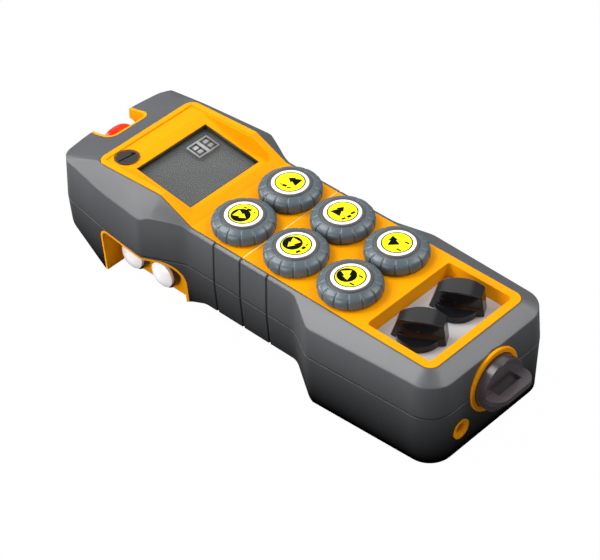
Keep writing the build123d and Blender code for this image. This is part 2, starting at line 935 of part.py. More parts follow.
for number, (x, y) in enumerate(button_places, start=1):
    boot = make_boot(x, y)
    boot.label = f"button_boot_{number}"
    export_step(boot, f"parts/button_boot_{number}.step")
    plunger = make_plunger(x, y)
    plunger.label = f"button_plunger_{number}"
    export_step(plunger, f"parts/button_plunger_{number}.step")
    spring = make_spring(x, y)
    spring.label = f"button_spring_{number}"
    export_step(spring, f"parts/button_spring_{number}.step")

# Switches under the push-buttons, bored for the plungers
with BuildPart() as button_switches:
    with BuildSketch(Plane.XY.offset(board_top_z)):
        with Locations(*button_places):
            Rectangle(switch_w, switch_w)
    extrude(amount=switch_h)
    with BuildSketch(Plane.XY.offset(board_top_z + 1)):
        with Locations(*button_places):
            Circle(plunger_r + run_gap)
    extrude(amount=switch_h, mode=Mode.SUBTRACT)
button_switches.part.label = "button_switches"
export_step(button_switches.part, "parts/button_switches.step")

# Rotary selectors: wing knobs that point to the left, their shafts and their switches
knob_z = pocket_floor_z + knob_gap


def make_knob(x, y):
    """Wing knob: a round skirt with a pointed blade across it, arched on top and dished at the flanks."""
    turn = radians(selector_angle)
    across = (cos(turn), sin(turn), 0)
    along = (-sin(turn), cos(turn), 0)
    base = Plane((x, y, knob_z), x_dir=across, z_dir=(0, 0, 1))
    side = Plane((x, y, knob_z), x_dir=along, z_dir=across)
    end = Plane((x, y, knob_z), x_dir=across, z_dir=(sin(turn), -cos(turn), 0))
    with BuildPart() as knob:
        with BuildSketch(base):
            with BuildLine():
                ThreePointArc((blade_nose_w, blade_half), (blade_w, 0), (blade_tail_w, -blade_half))
                Line((blade_tail_w, -blade_half), (-blade_tail_w, -blade_half))
                ThreePointArc((-blade_tail_w, -blade_half), (-blade_w, 0), (-blade_nose_w, blade_half))
                Line((-blade_nose_w, blade_half), (blade_nose_w, blade_half))
            make_face()
        extrude(amount=blade_h + blade_arch)
        with BuildSketch(side.offset(-skirt_r)):
            with BuildLine():
                Polyline(
                    (-blade_half + blade_tail_rake, blade_h),
                    (-blade_half, 0),
                    (blade_half, 0),
                    (blade_half - blade_nose_rake, blade_h),
                )
                ThreePointArc(
                    (blade_half - blade_nose_rake, blade_h),
                    (0, blade_h + blade_arch),
                    (-blade_half + blade_tail_rake, blade_h),
                )
            make_face()
        extrude(amount=2 * skirt_r, mode=Mode.INTERSECT)
        with BuildSketch(end.offset(-far / 4)):
            for mirror_side in (-1, 1):
                with Locations((mirror_side * (blade_w + dish_r - dish_depth), dish_z)):
                    Circle(dish_r)
        extrude(amount=far / 2, mode=Mode.SUBTRACT)
        with BuildSketch(base):
            Circle(skirt_r)
        extrude(amount=skirt_h)
        with BuildSketch(base):
            Circle(shaft_r)
        extrude(amount=skirt_h + shaft_seat, mode=Mode.SUBTRACT)
    return knob.part


selector_switch_top = pocket_under_z - knob_gap
for name, (x, y) in zip(("left", "right"), selector_places):
    knob = make_knob(x, y)
    knob.label = f"selector_knob_{name}"
    export_step(knob, f"parts/selector_knob_{name}.step")
    with BuildPart() as shaft:
        with BuildSketch(Plane.XY.offset(board_top_z + 2)):
            with Locations((x, y)):
                Circle(shaft_r)
        extrude(amount=knob_z + skirt_h + shaft_seat - board_top_z - 2)
    shaft.part.label = f"selector_shaft_{name}"
    export_step(shaft.part, f"parts/selector_shaft_{name}.step")

with BuildPart() as selector_switches:
    with BuildSketch(Plane.XY.offset(board_top_z)):
        with Locations(*selector_places):
            Rectangle(selector_switch_w, selector_switch_w)
    extrude(amount=selector_switch_top - board_top_z)
    with BuildSketch(Plane.XY.offset(board_top_z + 1)):
        with Locations(*selector_places):
            Circle(shaft_r + run_gap)
    extrude(amount=far, mode=Mode.SUBTRACT)
selector_switches.part.label = "selector_switches"
export_step(selector_switches.part, "parts/selector_switches.step")

# Stop button: a red mushroom on a stem that runs through the guard to the contact block
stop_back_y = stop_edge_y - stop_skirt
stem_seat = 3.0
stop_stem_end_y = panel_back_y - panel_t - contact_depth + stop_travel + 1.5
stop_axis = Axis((0, 0, stop_z), (0, 1, 0))
with BuildPart() as stop_head:
    with BuildSketch(Plane((0, 0, stop_z), x_dir=(1, 0, 0), z_dir=(0, 0, 1))):
        with BuildLine():
            Polyline(
                (0, stop_edge_y + stop_dome),
                (0, stop_back_y + stem_seat),
                (stop_stem_r, stop_back_y + stem_seat),
                (stop_stem_r, stop_back_y),
                (stop_r - 2, stop_back_y),
                (stop_r, stop_edge_y - 2.5),
                (stop_r, stop_edge_y - stop_lip),
            )
            ThreePointArc(
                (stop_r, stop_edge_y - stop_lip),
                (stop_r / 2, stop_edge_y - stop_lip + dome_point(stop_r, stop_dome + stop_lip, 0.5)),
                (0, stop_edge_y + stop_dome),
            )
        make_face()
    revolve(axis=stop_axis)
stop_head.part.label = "stop_head"
export_step(stop_head.part, "parts/stop_head.step")

with BuildPart() as stop_stem:
    with BuildSketch(Plane.XZ.offset(-stop_stem_end_y)):
        with Locations((0, stop_z)):
            Circle(stop_stem_r)
    extrude(amount=-(stop_back_y + stem_seat - stop_stem_end_y))
stop_stem.part.label = "stop_stem"
export_step(stop_stem.part, "parts/stop_stem.step")

block_back_y = panel_back_y - panel_t
with BuildPart() as stop_contact_block:
    with BuildSketch(Plane.XZ.offset(-block_back_y)):
        with Locations((0, stop_z)):
            Rectangle(contact_block, contact_block)
    extrude(amount=contact_depth)
    chamfer(stop_contact_block.edges().filter_by(Axis.Y), 1)
    with BuildSketch(Plane.XZ.offset(-block_back_y)):
        with Locations((0, stop_z)):
            Circle(stop_stem_r + run_gap)
    extrude(amount=contact_depth - 1, mode=Mode.SUBTRACT)
stop_contact_block.part.label = "stop_contact_block"
export_step(stop_contact_block.part, "parts/stop_contact_block.step")

# Side push-buttons: white domed caps in dark collars, with switches behind the wall
cap_back_x = recess_wall_x - collar_base - cap_travel - knob_gap
cap_edge_x = cap_back_x - cap_side
side_switch_depth = 9.0
side_stem_end_x = side_wall_x + side_switch_depth - 2 - cap_travel - 1
with BuildPart() as side_collars:
    with BuildSketch(Plane.YZ.offset(recess_wall_x)):
        with Locations(*side_bores):
            Circle(collar_r)
    extrude(amount=-collar_h)
    with BuildSketch(Plane.YZ.offset(recess_wall_x - collar_base)):
        with Locations(*side_bores):
            Circle(cap_r + panel_gap)
    extrude(amount=-collar_h, mode=Mode.SUBTRACT)
    with BuildSketch(Plane.YZ.offset(recess_wall_x + 1)):
        with Locations(*side_bores):
            Circle(side_stem_r + run_gap)
    extrude(amount=-collar_h, mode=Mode.SUBTRACT)
side_collars.part.label = "side_collars"
export_step(side_collars.part, "parts/side_collars.step")

for number, y in enumerate(side_places, start=1):
    with BuildPart() as cap:
        with BuildSketch(Plane((0, y, side_z), x_dir=(1, 0, 0), z_dir=(0, 0, 1))):
            with BuildLine():
                Polyline(
                    (cap_edge_x - cap_dome, 0),
                    (side_stem_end_x, 0),
                    (side_stem_end_x, side_stem_r),
                    (cap_back_x, side_stem_r),
                    (cap_back_x, cap_r),
                    (cap_edge_x, cap_r),
                )
                ThreePointArc(
                    (cap_edge_x, cap_r),
                    (cap_edge_x - dome_point(cap_r, cap_dome, 0.5), cap_r / 2),
                    (cap_edge_x - cap_dome, 0),
                )
            make_face()
        revolve(axis=Axis((0, y, side_z), (1, 0, 0)))
    cap.part.label = f"side_button_{number}"
    export_step(cap.part, f"parts/side_button_{number}.step")

with BuildPart() as side_switches:
    with BuildSketch(Plane.YZ.offset(side_wall_x)):
        with Locations(*side_bores):
            Rectangle(contact_depth, contact_depth)
    extrude(amount=side_switch_depth)
    with BuildSketch(Plane.YZ.offset(side_wall_x)):
        with Locations(*side_bores):
            Circle(side_stem_r + run_gap)
    extrude(amount=side_switch_depth - 2, mode=Mode.SUBTRACT)
side_switches.part.label = "side_switches"
export_step(side_switches.part, "parts/side_switches.step")

# Key, its rotor, switch and yellow surround
rotor_front_y = key_back_y + knob_gap
rotor_back_y = rotor_front_y + rotor_length
key_shank_end_y = rotor_back_y - 1.5
key_plate_low_z = key_z - key_plate_low
with BuildPart() as key:
    with BuildSketch(Plane.XZ.offset(-key_back_y)):
        with Locations((0, key_z)):
            Circle(key_r)
    extrude(amount=key_back_y - key_face_y)
    chamfer(key.edges().group_by(Axis.Y)[0], 0.4)
    with BuildSketch(Plane.XY.offset(key_plate_low_z)):
        with BuildLine():
            FilletPolyline(
                (-key_r, key_face_y + 1),
                (-key_r, key_reach_y),
                (key_r, key_reach_y),
                (key_r, key_face_y + 1),
                radius=key_plate_r,
            )
            Line((key_r, key_face_y + 1), (-key_r, key_face_y + 1))
        make_face()
        with Locations((0, key_face_y - key_slot_d / 2)):
            Rectangle(key_slot_w, key_slot_d, mode=Mode.SUBTRACT)
    extrude(amount=key_plate_t)
    with BuildSketch(Plane.XZ.offset(-key_back_y)):
        with Locations((0, key_z)):
            Circle(key_shank_r)
    extrude(amount=-(key_shank_end_y - key_back_y))
key.part.label = "key"
export_step(key.part, "parts/key.step")

with BuildPart() as key_rotor:
    with BuildSketch(Plane.XZ.offset(-rotor_back_y)):
        with Locations((0, key_z)):
            Circle(rotor_r)
    extrude(amount=rotor_back_y - rotor_front_y)
    with BuildSketch(Plane.XZ.offset(-rotor_front_y)):
        with Locations((0, key_z)):
            Circle(key_shank_r + run_gap)
    extrude(amount=-(key_shank_end_y + 0.5 - rotor_front_y), mode=Mode.SUBTRACT)
key_rotor.part.label = "key_rotor"
export_step(key_rotor.part, "parts/key_rotor.step")

with BuildPart() as key_switch:
    with BuildSketch(Plane.XZ.offset(-key_switch_end_y)):
        with Locations((0, key_z)):
            Circle(key_switch_r)
    extrude(amount=key_switch_end_y - rotor_front_y)
    with BuildSketch(Plane.XZ.offset(-rotor_front_y)):
        with Locations((0, key_z)):
            Circle(rotor_r + run_gap)
    extrude(amount=-(rotor_back_y - rotor_front_y + knob_gap), mode=Mode.SUBTRACT)
key_switch.part.label = "key_switch"
export_step(key_switch.part, "parts/key_switch.step")

with BuildPart() as key_surround:
    with BuildSketch(Plane.XZ.offset(-tail_end_y - surround_depth)):
        with Locations((0, key_z)):
            Circle(surround_r)
            Circle(key_r + panel_gap, mode=Mode.SUBTRACT)
    extrude(amount=surround_depth + surround_proud)
    chamfer(key_surround.edges().group_by(Axis.Y)[0].sort_by(SortBy.LENGTH)[-1], 0.3)
key_surround.part.label = "key_surround"
export_step(key_surround.part, "parts/key_surround.step")

# Countersunk bush in the tail face
with BuildPart() as tail_bush:
    with BuildSketch(Plane((bush_x, 0, bush_z), x_dir=(1, 0, 0), z_dir=(0, 0, 1))):
        with BuildLine():
            Polyline(
                (bush_bore_r, tail_end_y + bush_len),
                (bush_r, tail_end_y + bush_len),
                (bush_r, tail_end_y + 0.3),
                (bush_sink_r, tail_end_y + 0.3),
                (bush_bore_r, tail_end_y + 0.3 + bush_sink_r - bush_bore_r),
                close=True,
            )
        make_face()
    revolve(axis=Axis((bush_x, 0, bush_z), (0, 1, 0)))
tail_bush.part.label = "tail_bush"
export_step(tail_bush.part, "parts/tail_bush.step")

# Slotted plug, flush in the head
with BuildPart() as slotted_plug:
    with BuildSketch(plug_plane):
        Circle(plug_r)
    extrude(amount=-(plug_t - run_gap))
    with BuildSketch(plug_plane.offset(-plug_t + run_gap)):
        Circle(plug_stem_r)
    extrude(amount=-panel_t)
    with BuildSketch(plug_plane):
        Rectangle(2 * plug_r, plug_slot_w, rotation=plug_slot_angle)
    extrude(amount=-plug_slot_d, mode=Mode.SUBTRACT)
slotted_plug.part.label = "slotted_plug"
export_step(slotted_plug.part, "parts/slotted_plug.step")

# Main board on four posts, with the radio module and the antenna
with BuildPart() as main_board:
    with BuildSketch(Plane.XY.offset(board_z)):
        with Locations((0, board_front_y)):
            Rectangle(2 * board_half, board_back_y - board_front_y, align=(Align.CENTER, Align.MIN))
        with Locations((side_wall_x + panel_gap, recess_front_y - liner_t - side_wall_t - panel_gap)):
            Rectangle(far, far, align=(Align.MAX, Align.MIN), mode=Mode.SUBTRACT)
    extrude(amount=board_t)
main_board.part.label = "main_board"
export_step(main_board.part, "parts/main_board.step")

with BuildPart() as radio_module:
    with BuildSketch(Plane.XY.offset(board_top_z)):
        with Locations((radio_x, radio_y)):
            Rectangle(radio_width, radio_length)
    extrude(amount=radio_h)
    chamfer(radio_module.edges().filter_by(Axis.Z), 0.8)
radio_module.part.label = "radio_module"
export_step(radio_module.part, "parts/radio_module.step")

with BuildPart() as antenna:
    with BuildSketch(Plane.XZ.offset(-antenna_y)):
        with Locations((antenna_x, board_top_z + antenna_r)):
            Circle(antenna_r)
    extrude(amount=antenna_length / 2, both=True)
antenna.part.label = "antenna"
export_step(antenna.part, "parts/antenna.step")

# Battery pack under the tail, its contacts, its door and the door's screws
with BuildPart() as battery_pack:
    with BuildSketch(Plane.XY.offset(door_t)):
        with Locations((0, door_y)):
            RectangleRounded(2 * battery_half, battery_back_y - battery_front_y, battery_r)
    extrude(amount=battery_h)
    chamfer(battery_pack.edges().group_by(Axis.Z)[-1], 0.6)
battery_pack.part.label = "battery_pack"
export_step(battery_pack.part, "parts/battery_pack.step")

contacts_y = battery_back_y + battery_gap
with BuildPart() as battery_contacts:
    with BuildSketch(Plane.XY.offset(door_ledge_z)):
        with Locations((contacts_x, contacts_y)):
            Rectangle(contacts_w, contacts_t, align=(Align.CENTER, Align.MIN))
        for step in range(contact_count):
            with Locations((contacts_x + (step - (contact_count - 1) / 2) * contact_pitch, contacts_y)):
                Rectangle(contact_w, 0.8, align=(Align.CENTER, Align.MIN), mode=Mode.SUBTRACT)
    extrude(amount=contacts_h)
battery_contacts.part.label = "battery_contacts"
export_step(battery_contacts.part, "parts/battery_contacts.step")

with BuildPart() as battery_door:
    with BuildSketch(Plane.XY):
        with Locations((0, door_y)):
            RectangleRounded(2 * (door_half - door_gap), door_length - 2 * door_gap, door_r - door_gap)
    extrude(amount=door_t)
    with BuildSketch(Plane.XY):
        with Locations(*door_screw_places):
            Circle(screw_head_r + panel_gap)
    extrude(amount=door_head_h + 0.1, mode=Mode.SUBTRACT)
    with BuildSketch(Plane.XY):
        with Locations(*door_screw_places):
            Circle(screw_r + run_gap)
    extrude(amount=door_t, mode=Mode.SUBTRACT)
battery_door.part.label = "battery_door"
export_step(battery_door.part, "parts/battery_door.step")


def make_screws(places, head_low_z, head_h, tip_z):
    """A set of socket-head screws, driven in from below."""
    with BuildPart() as screws:
        with BuildSketch(Plane.XY.offset(head_low_z)):
            with Locations(*places):
                Circle(screw_head_r)
        extrude(amount=head_h)
        with BuildSketch(Plane.XY.offset(head_low_z + head_h)):
            with Locations(*places):
                Circle(screw_r)
        extrude(amount=tip_z - head_low_z - head_h)
        with BuildSketch(Plane.XY.offset(head_low_z)):
            with Locations(*places):
                RegularPolygon(screw_socket_r, 6)
        extrude(amount=min(screw_socket_d, head_h - 0.4), mode=Mode.SUBTRACT)
    return screws.part


door_screws = make_screws(door_screw_places, 0.1, door_head_h, door_screw_tip_z)
door_screws.label = "door_screws"
export_step(door_screws, "parts/door_screws.step")
case_screws = make_screws(screw_places, screw_seat_z - screw_head_h, screw_head_h, screw_top_z - screw_tip)
case_screws.label = "case_screws"
export_step(case_screws, "parts/case_screws.step")
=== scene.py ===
# %% [markdown]
# An industrial radio remote control, dressed for a picture. The solids come from CAD: this
# script loads them, gives every one its real finish, and adds what a moulder or printer adds
# to the real control: ribbed rubber boots, printed legends, display digits.
# All lengths are metres, and mm() turns the drawing's millimetres into them.

# %% Load the frame and measure it
import json
from math import cos, pi, radians, sin

import bmesh
import bpy
from mathutils import Matrix, Vector


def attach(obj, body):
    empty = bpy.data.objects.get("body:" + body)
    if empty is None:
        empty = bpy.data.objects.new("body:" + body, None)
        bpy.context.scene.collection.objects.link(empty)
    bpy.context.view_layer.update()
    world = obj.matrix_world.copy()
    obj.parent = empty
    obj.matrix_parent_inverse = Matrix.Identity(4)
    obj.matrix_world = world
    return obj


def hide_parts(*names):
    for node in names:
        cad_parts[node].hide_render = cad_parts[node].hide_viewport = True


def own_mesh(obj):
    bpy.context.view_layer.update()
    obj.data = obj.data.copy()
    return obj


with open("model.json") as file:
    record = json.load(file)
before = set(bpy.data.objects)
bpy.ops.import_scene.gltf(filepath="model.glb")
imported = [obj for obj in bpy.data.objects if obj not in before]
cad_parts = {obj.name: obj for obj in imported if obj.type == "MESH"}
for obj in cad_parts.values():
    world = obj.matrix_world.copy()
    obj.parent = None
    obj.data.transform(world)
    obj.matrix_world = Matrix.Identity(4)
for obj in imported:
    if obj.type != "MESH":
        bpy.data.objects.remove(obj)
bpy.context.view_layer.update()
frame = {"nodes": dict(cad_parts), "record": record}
nodes = frame["nodes"]


def mm(value):
    """Metres from millimetres."""
    return value / 1000


# %% [markdown]
# Colours are written as the sRGB hex values that a paint chart or a screen picker gives. Blender
# shades in linear light, so one function converts them, and every material goes through it.
# Another adds any node with its settings and its links, so that a material reads as a short list.

# %% Colour and node helpers
def linear(hex_code):
    """A linear RGBA colour from an sRGB hex value such as #FFB400."""
    shares = [int(hex_code[place : place + 2], 16) / 255 for place in (1, 3, 5)]
    return [s / 12.92 if s <= 0.04045 else ((s + 0.055) / 1.055) ** 2.4 for s in shares] + [1.0]


def add_node(tree, kind, settings=None, inputs=None):
    """Adds a node, sets its properties, and fills its inputs with values or links to them."""
    node = tree.nodes.new(kind)
    for name, value in (settings or {}).items():
        setattr(node, name, value)
    for name, value in (inputs or {}).items():
        if isinstance(value, bpy.types.NodeSocket):
            tree.links.new(value, node.inputs[name])
        else:
            node.inputs[name].default_value = value
    return node


def start_material(name):
    """An empty node material with its tree, its Object coordinates and its output."""
    material = bpy.data.materials.new(name)
    material.use_nodes = True
    tree = material.node_tree
    tree.nodes.clear()
    place = add_node(tree, "ShaderNodeTexCoord").outputs["Object"]
    output = add_node(tree, "ShaderNodeOutputMaterial")
    return material, tree, place, output


print("#FFB400 in linear light:", [round(share, 3) for share in linear("#FFB400")])

# %% [markdown]
# No moulded surface is one flat colour. Its tone drifts a little where the melt flowed, and the
# mould leaves a grain. Both come from noise in Object coordinates, with scales worked out from
# millimetres. A Bevel node softens the light on edges that are too small to model.

# %% Drifting tone and mould grain
MOTTLE_DETAIL, MOTTLE_FROM, MOTTLE_TO = 4.0, 0.35, 0.65
GRAIN_DETAIL, GRAIN_STRENGTH, EDGE_SAMPLES = 3.0, 0.6, 6


def mottle(tree, place, hex_low, hex_high, spot_mm):
    """A base colour that drifts between two close tones over spots of a real size."""
    sizes = {"Vector": place, "Scale": 1 / mm(spot_mm), "Detail": MOTTLE_DETAIL}
    noise = add_node(tree, "ShaderNodeTexNoise", None, sizes)
    ramp = add_node(tree, "ShaderNodeValToRGB", None, {"Fac": noise.outputs["Fac"]})
    ramp.color_ramp.elements[0].position = MOTTLE_FROM
    ramp.color_ramp.elements[0].color = linear(hex_low)
    ramp.color_ramp.elements[1].position = MOTTLE_TO
    ramp.color_ramp.elements[1].color = linear(hex_high)
    return ramp.outputs["Color"]


def grain(tree, place, grain_mm, height_mm, edge_mm=0):
    """The fine grain of a mould's surface as a bump of a real height, over softened edges."""
    sizes = {"Vector": place, "Scale": 1 / mm(grain_mm), "Detail": GRAIN_DETAIL}
    noise = add_node(tree, "ShaderNodeTexNoise", None, sizes)
    depth = {"Height": noise.outputs["Fac"], "Distance": mm(height_mm), "Strength": GRAIN_STRENGTH}
    bump = add_node(tree, "ShaderNodeBump", None, depth)
    if edge_mm:
        edge = add_node(tree, "ShaderNodeBevel", {"samples": EDGE_SAMPLES}, {"Radius": mm(edge_mm)})
        tree.links.new(edge.outputs["Normal"], bump.inputs["Normal"])
    return bump.outputs["Normal"]


print("tones blend over", round(MOTTLE_TO - MOTTLE_FROM, 2), "of the noise's range")

# %% [markdown]
# Most of the control is injection-moulded plastic, and what tells one moulding from another is
# its colour, its gloss and the grain that the mould's wall leaves. One recipe therefore covers
# them: a colour that drifts a little, a roughness, and a grain of a real size and height. On the
# casing, shade and light are painted in: its recipe scales colour and gloss with the height,
# darker towards the bottom as painted shade and a little lighter near the top as painted light.

# %% Moulded plastics and rubber
# Heights in mm where the painted shade on the casing is darkest and lightest, and the share of
# painted light at the top
PAINTED_SHADE_LOW_Z, PAINTED_SHADE_HIGH_Z, PAINTED_LIGHT_SHARE = 1, 42, 1.15


def painted_shade_by_height(tree, place, low_share):
    """A factor of painted shade and light that grows with the height above the floor, from the
    given share at the bottom.
    """
    height = add_node(tree, "ShaderNodeSeparateXYZ", None, {"Vector": place}).outputs["Z"]
    span = {"Value": height, "From Min": mm(PAINTED_SHADE_LOW_Z), "From Max": mm(PAINTED_SHADE_HIGH_Z)}
    span |= {"To Min": low_share, "To Max": PAINTED_LIGHT_SHARE}
    return add_node(tree, "ShaderNodeMapRange", None, span).outputs["Result"]


def moulded(name, tones, roughness, grain_mm, height_mm, spot_mm=25, **extra):
    """A moulded plastic or rubber: two close tones, a roughness, and the mould's grain."""
    material, tree, place, output = start_material(name)
    colour = mottle(tree, place, *tones, spot_mm)
    gloss = extra.get("specular", 0.5)
    # Painted shade and light: colour and gloss scale with the height, darker at the bottom and
    # lighter at the top
    if "low_share" in extra:
        share = painted_shade_by_height(tree, place, extra["low_share"])
        factors = {0: colour, "Scale": share}
        scaled = add_node(tree, "ShaderNodeVectorMath", {"operation": "SCALE"}, factors)
        colour = scaled.outputs["Vector"]
        scaled = add_node(tree, "ShaderNodeMath", {"operation": "MULTIPLY"}, {0: share, 1: gloss})
        gloss = scaled.outputs["Value"]
    shader = add_node(
        tree,
        "ShaderNodeBsdfPrincipled",
        None,
        {
            "Base Color": colour,
            "Roughness": roughness,
            "IOR": 1.5,
            "Normal": grain(tree, place, grain_mm, height_mm, extra.get("edge_mm", 0)),
            "Specular IOR Level": gloss,
            "Coat Weight": extra.get("coat", 0.0),
        },
    )
    tree.links.new(shader.outputs["BSDF"], output.inputs["Surface"])
    return material


print("the casing darkens over", PAINTED_SHADE_HIGH_Z - PAINTED_SHADE_LOW_Z, "mm")

# %% [markdown]
# The hand and the eye meet these finishes first. Each row gives two close tones, the roughness,
# and the grain's size and height in millimetres. A grain finer than a few tenths would vanish in
# a picture, so it is drawn as coarse as it needs to show.

# %% Finishes of the casing and the panel
finishes = {
    # Elastomer moulded over the shell: its spark-eroded grain gives a broad, soft highlight, and
    # its colour and gloss are darkened towards the bottom as painted shade
    "grey_casing": moulded(
        "moulded_elastomer_dark_grey", ("#3E3F42", "#434447"), 0.48, 0.5, 0.012,
        specular=0.8, edge_mm=1.0, low_share=0.0,
    ),
    # Glass-filled polyamide, coloured all through: satin, nearly smooth, hardly a highlight
    "yellow_plastic": moulded(
        "moulded_polyamide_yellow", ("#EA9600", "#EE9B00"), 0.5, 0.8, 0.006,
        specular=0.06, edge_mm=0.4,
    ),
    # The same yellow made pale: a painted highlight on the sharp edge of a seam
    "seam_painted_highlight": moulded("painted_highlight_polyamide_seam", ("#FFE29A", "#FFE8AC"), 0.5, 0.8, 0.004),
    # Foam cord between the halves: open pores and no shine
    "seal_rubber": moulded("cut_foam_rubber_black", ("#161616", "#1C1C1C"), 0.8, 0.3, 0.02),
    # Anodised plate on the pocket's floor: pale and even, with a little shine
    "plate_grey": moulded("anodised_plate_silver_grey", ("#B2B3B5", "#BABBBD"), 0.38, 0.3, 0.006),
    # Olive black and dull: the toothed ring round the plug, and a strip round the window that is
    # painted shade on the recess's inner walls
    "olive_black_and_painted_shade": moulded("moulded_olive_black_and_painted_shade", ("#2E2C10", "#3A3714"), 0.6, 0.4, 0.01),
    # Slotted plug on the head: brown-black, half gloss
    "plug_dark": moulded(
        "moulded_plug_brown_black", ("#1D1619", "#251E21"), 0.3, 0.5, 0.008, specular=0.3
    ),
}
print("casing and panel finishes:", len(finishes))

# %% [markdown]
# What is pressed or turned is smoother than the casing, because fingers polish it, and its
# colours tell what it does. The inks are nearly flat, and the stop cap has a thin glossy skin.

# %% Finishes of the controls
controls = {
    # Silicone rubber of the boots: a tight grain, so small soft highlights on the lobes
    "boot_rubber": moulded(
        "moulded_silicone_blue_grey", ("#4B565C", "#535F65"), 0.33, 0.4, 0.008, edge_mm=0.3
    ),
    # Ring on the boot's lip: warm grey, satin
    "ring_grey": moulded(
        "moulded_ring_warm_grey", ("#4A4445", "#524C4D"), 0.45, 0.4, 0.004, specular=0.3
    ),
    # Discs under the legends: smooth and bright
    "legend_white": moulded("moulded_disc_white", ("#F4F4F0", "#FBFBF8"), 0.3, 0.6, 0.003),
    # Screen inks: a few hundredths thick, flat, with hardly any shine
    "print_yellow": moulded(
        "screen_ink_yellow", ("#F4EC00", "#FAF200"), 0.5, 0.5, 0.002, specular=0.2
    ),
    "print_black": moulded(
        "screen_ink_black", ("#040405", "#070708"), 0.5, 0.5, 0.002, specular=0.05
    ),
    # Stop cap: a clear red under a thin glossy skin
    "stop_red": moulded(
        "moulded_stop_red", ("#F52600", "#FF2E05"), 0.22, 0.8, 0.004, specular=0.3, coat=0.1
    ),
    # Domed caps of the side buttons: polished white
    "cap_white": moulded("moulded_cap_white", ("#FCFCFC", "#FFFFFF"), 0.25, 0.6, 0.003, coat=0.1),
    # Collars of the side buttons: black, half gloss
    "collar_black": moulded("moulded_collar_black", ("#1C1A1C", "#232124"), 0.35, 0.5, 0.008),
    # Wing knobs: smooth black, with rounded edges that catch the light
    "knob_black": moulded(
        "moulded_knob_black", ("#121113", "#19181B"), 0.2, 0.5, 0.004, specular=0.38, edge_mm=0.3
    ),
    # Key and its rotor: brown-black, polished by fingers
    "key_black": moulded("moulded_key_black", ("#352D31", "#3F363B"), 0.25, 0.5, 0.006),
}
finishes.update(controls)
print("control finishes:", len(controls))

# %% [markdown]
# The display and the parts inside are seen through the window or not at all, but a part that is
# taken out of the casing still has to look like what it is.

# %% Finishes of the display and the inside
inner = {
    # Film behind the window: an even grey, clouded over a few millimetres
    "display_grey": moulded(
        "display_film_dark_grey", ("#545656", "#5A5C5C"), 0.5, 0.2, 0.002, spot_mm=9
    ),
    # Liquid crystal: dark digits in a pale field, both flat
    "segment_dark": moulded("crystal_segment_dark", ("#3E4040", "#434545"), 0.4, 0.5, 0.002),
    "segment_pale": moulded("crystal_field_pale", ("#9A9C9C", "#A0A2A2"), 0.4, 0.5, 0.002),
    # Bodies of the switches: a dull black
    "switch_black": moulded("moulded_switch_black", ("#161616", "#1B1B1B"), 0.45, 0.5, 0.01),
    # Solder mask: green, mottled by the copper tracks under it
    "board_green": moulded(
        "solder_mask_green", ("#0E4A22", "#125A2A"), 0.35, 0.6, 0.01, spot_mm=4
    ),
    # Shrink film round the cells: blue-black and glossy
    "battery_wrap": moulded("shrink_film_blue_black", ("#1B2233", "#222A3D"), 0.3, 1.0, 0.01),
}
finishes.update(inner)
print("display and inner finishes:", len(inner))

# %% [markdown]
# Turned and drawn steel is bright because it is metal, and soft because fine lines from the tool
# or the die scatter light. A noise stretched along one direction draws those lines.

# %% Metals
LINE_STRETCH, ROUGHNESS_SPREAD = 12, 0.08


def drawn_metal(name, hex_code, roughness, line_mm):
    """A bare or plated metal with fine lines from its tool."""
    material, tree, place, output = start_material(name)
    stretch = {"Vector": place, "Scale": (1, 1, LINE_STRETCH)}
    stretched = add_node(tree, "ShaderNodeMapping", None, stretch).outputs["Vector"]
    sizes = {"Vector": stretched, "Scale": 1 / mm(line_mm * LINE_STRETCH), "Detail": 2.0}
    lines = add_node(tree, "ShaderNodeTexNoise", None, sizes)
    span = {"Value": lines.outputs["Fac"]}
    span |= {"To Min": roughness - ROUGHNESS_SPREAD, "To Max": roughness + ROUGHNESS_SPREAD}
    rough = add_node(tree, "ShaderNodeMapRange", None, span)
    shader = add_node(
        tree,
        "ShaderNodeBsdfPrincipled",
        None,
        {"Base Color": linear(hex_code), "Metallic": 1.0, "Roughness": rough.outputs["Result"]},
    )
    tree.links.new(shader.outputs["BSDF"], output.inputs["Surface"])
    return material


metals = {
    # Zinc on turned screws: pale and slightly blue
    "screw_steel": drawn_metal("zinc_plated_steel", "#B9BCC0", 0.35, 0.3),
    # Spring wire: bare steel with lines from the die
    "spring_steel": drawn_metal("drawn_spring_steel", "#A9ABAE", 0.3, 0.2),
    # Tinned sheet over the radio module: duller and a little warm
    "shield_metal": drawn_metal("tinned_sheet_steel", "#C3C4C2", 0.4, 0.5),
}
finishes.update(metals)
print("metals:", len(metals))

# %% [markdown]
# The display window is a clear polycarbonate pane. Only a little of the light stops in it, so it
# is made thin in alpha, which lets the lamps through to the display without noise, and glossy.

# %% Clear window
PANE_SPOT = 30


def clear_window(name, hex_code, alpha):
    """A clear, glossy pane that keeps only a share of the light."""
    material, tree, place, output = start_material(name)
    shader = add_node(
        tree,
        "ShaderNodeBsdfPrincipled",
        None,
        {
            "Base Color": mottle(tree, place, hex_code, hex_code, PANE_SPOT),
            "Roughness": 0.08,
            "IOR": 1.58,
            "Alpha": alpha,
        },
    )
    tree.links.new(shader.outputs["BSDF"], output.inputs["Surface"])
    return material


finishes["display_glass"] = clear_window("clear_polycarbonate", "#8A8D8C", 0.16)
print("all finishes:", len(finishes))

# %% [markdown]
# Every CAD node takes the finish of its material slot in the record, so that nothing is left in
# a plain colour. Its shape and its place stay as CAD made them.

# %% Dress the CAD nodes
slot_of = {part["node"]: part["material_slot"] for part in frame["record"]["subparts"]}
for name, node in nodes.items():
    node.data.materials.clear()
    node.data.materials.append(finishes[slot_of[name]])
print("dressed:", sorted(set(slot_of.values())))

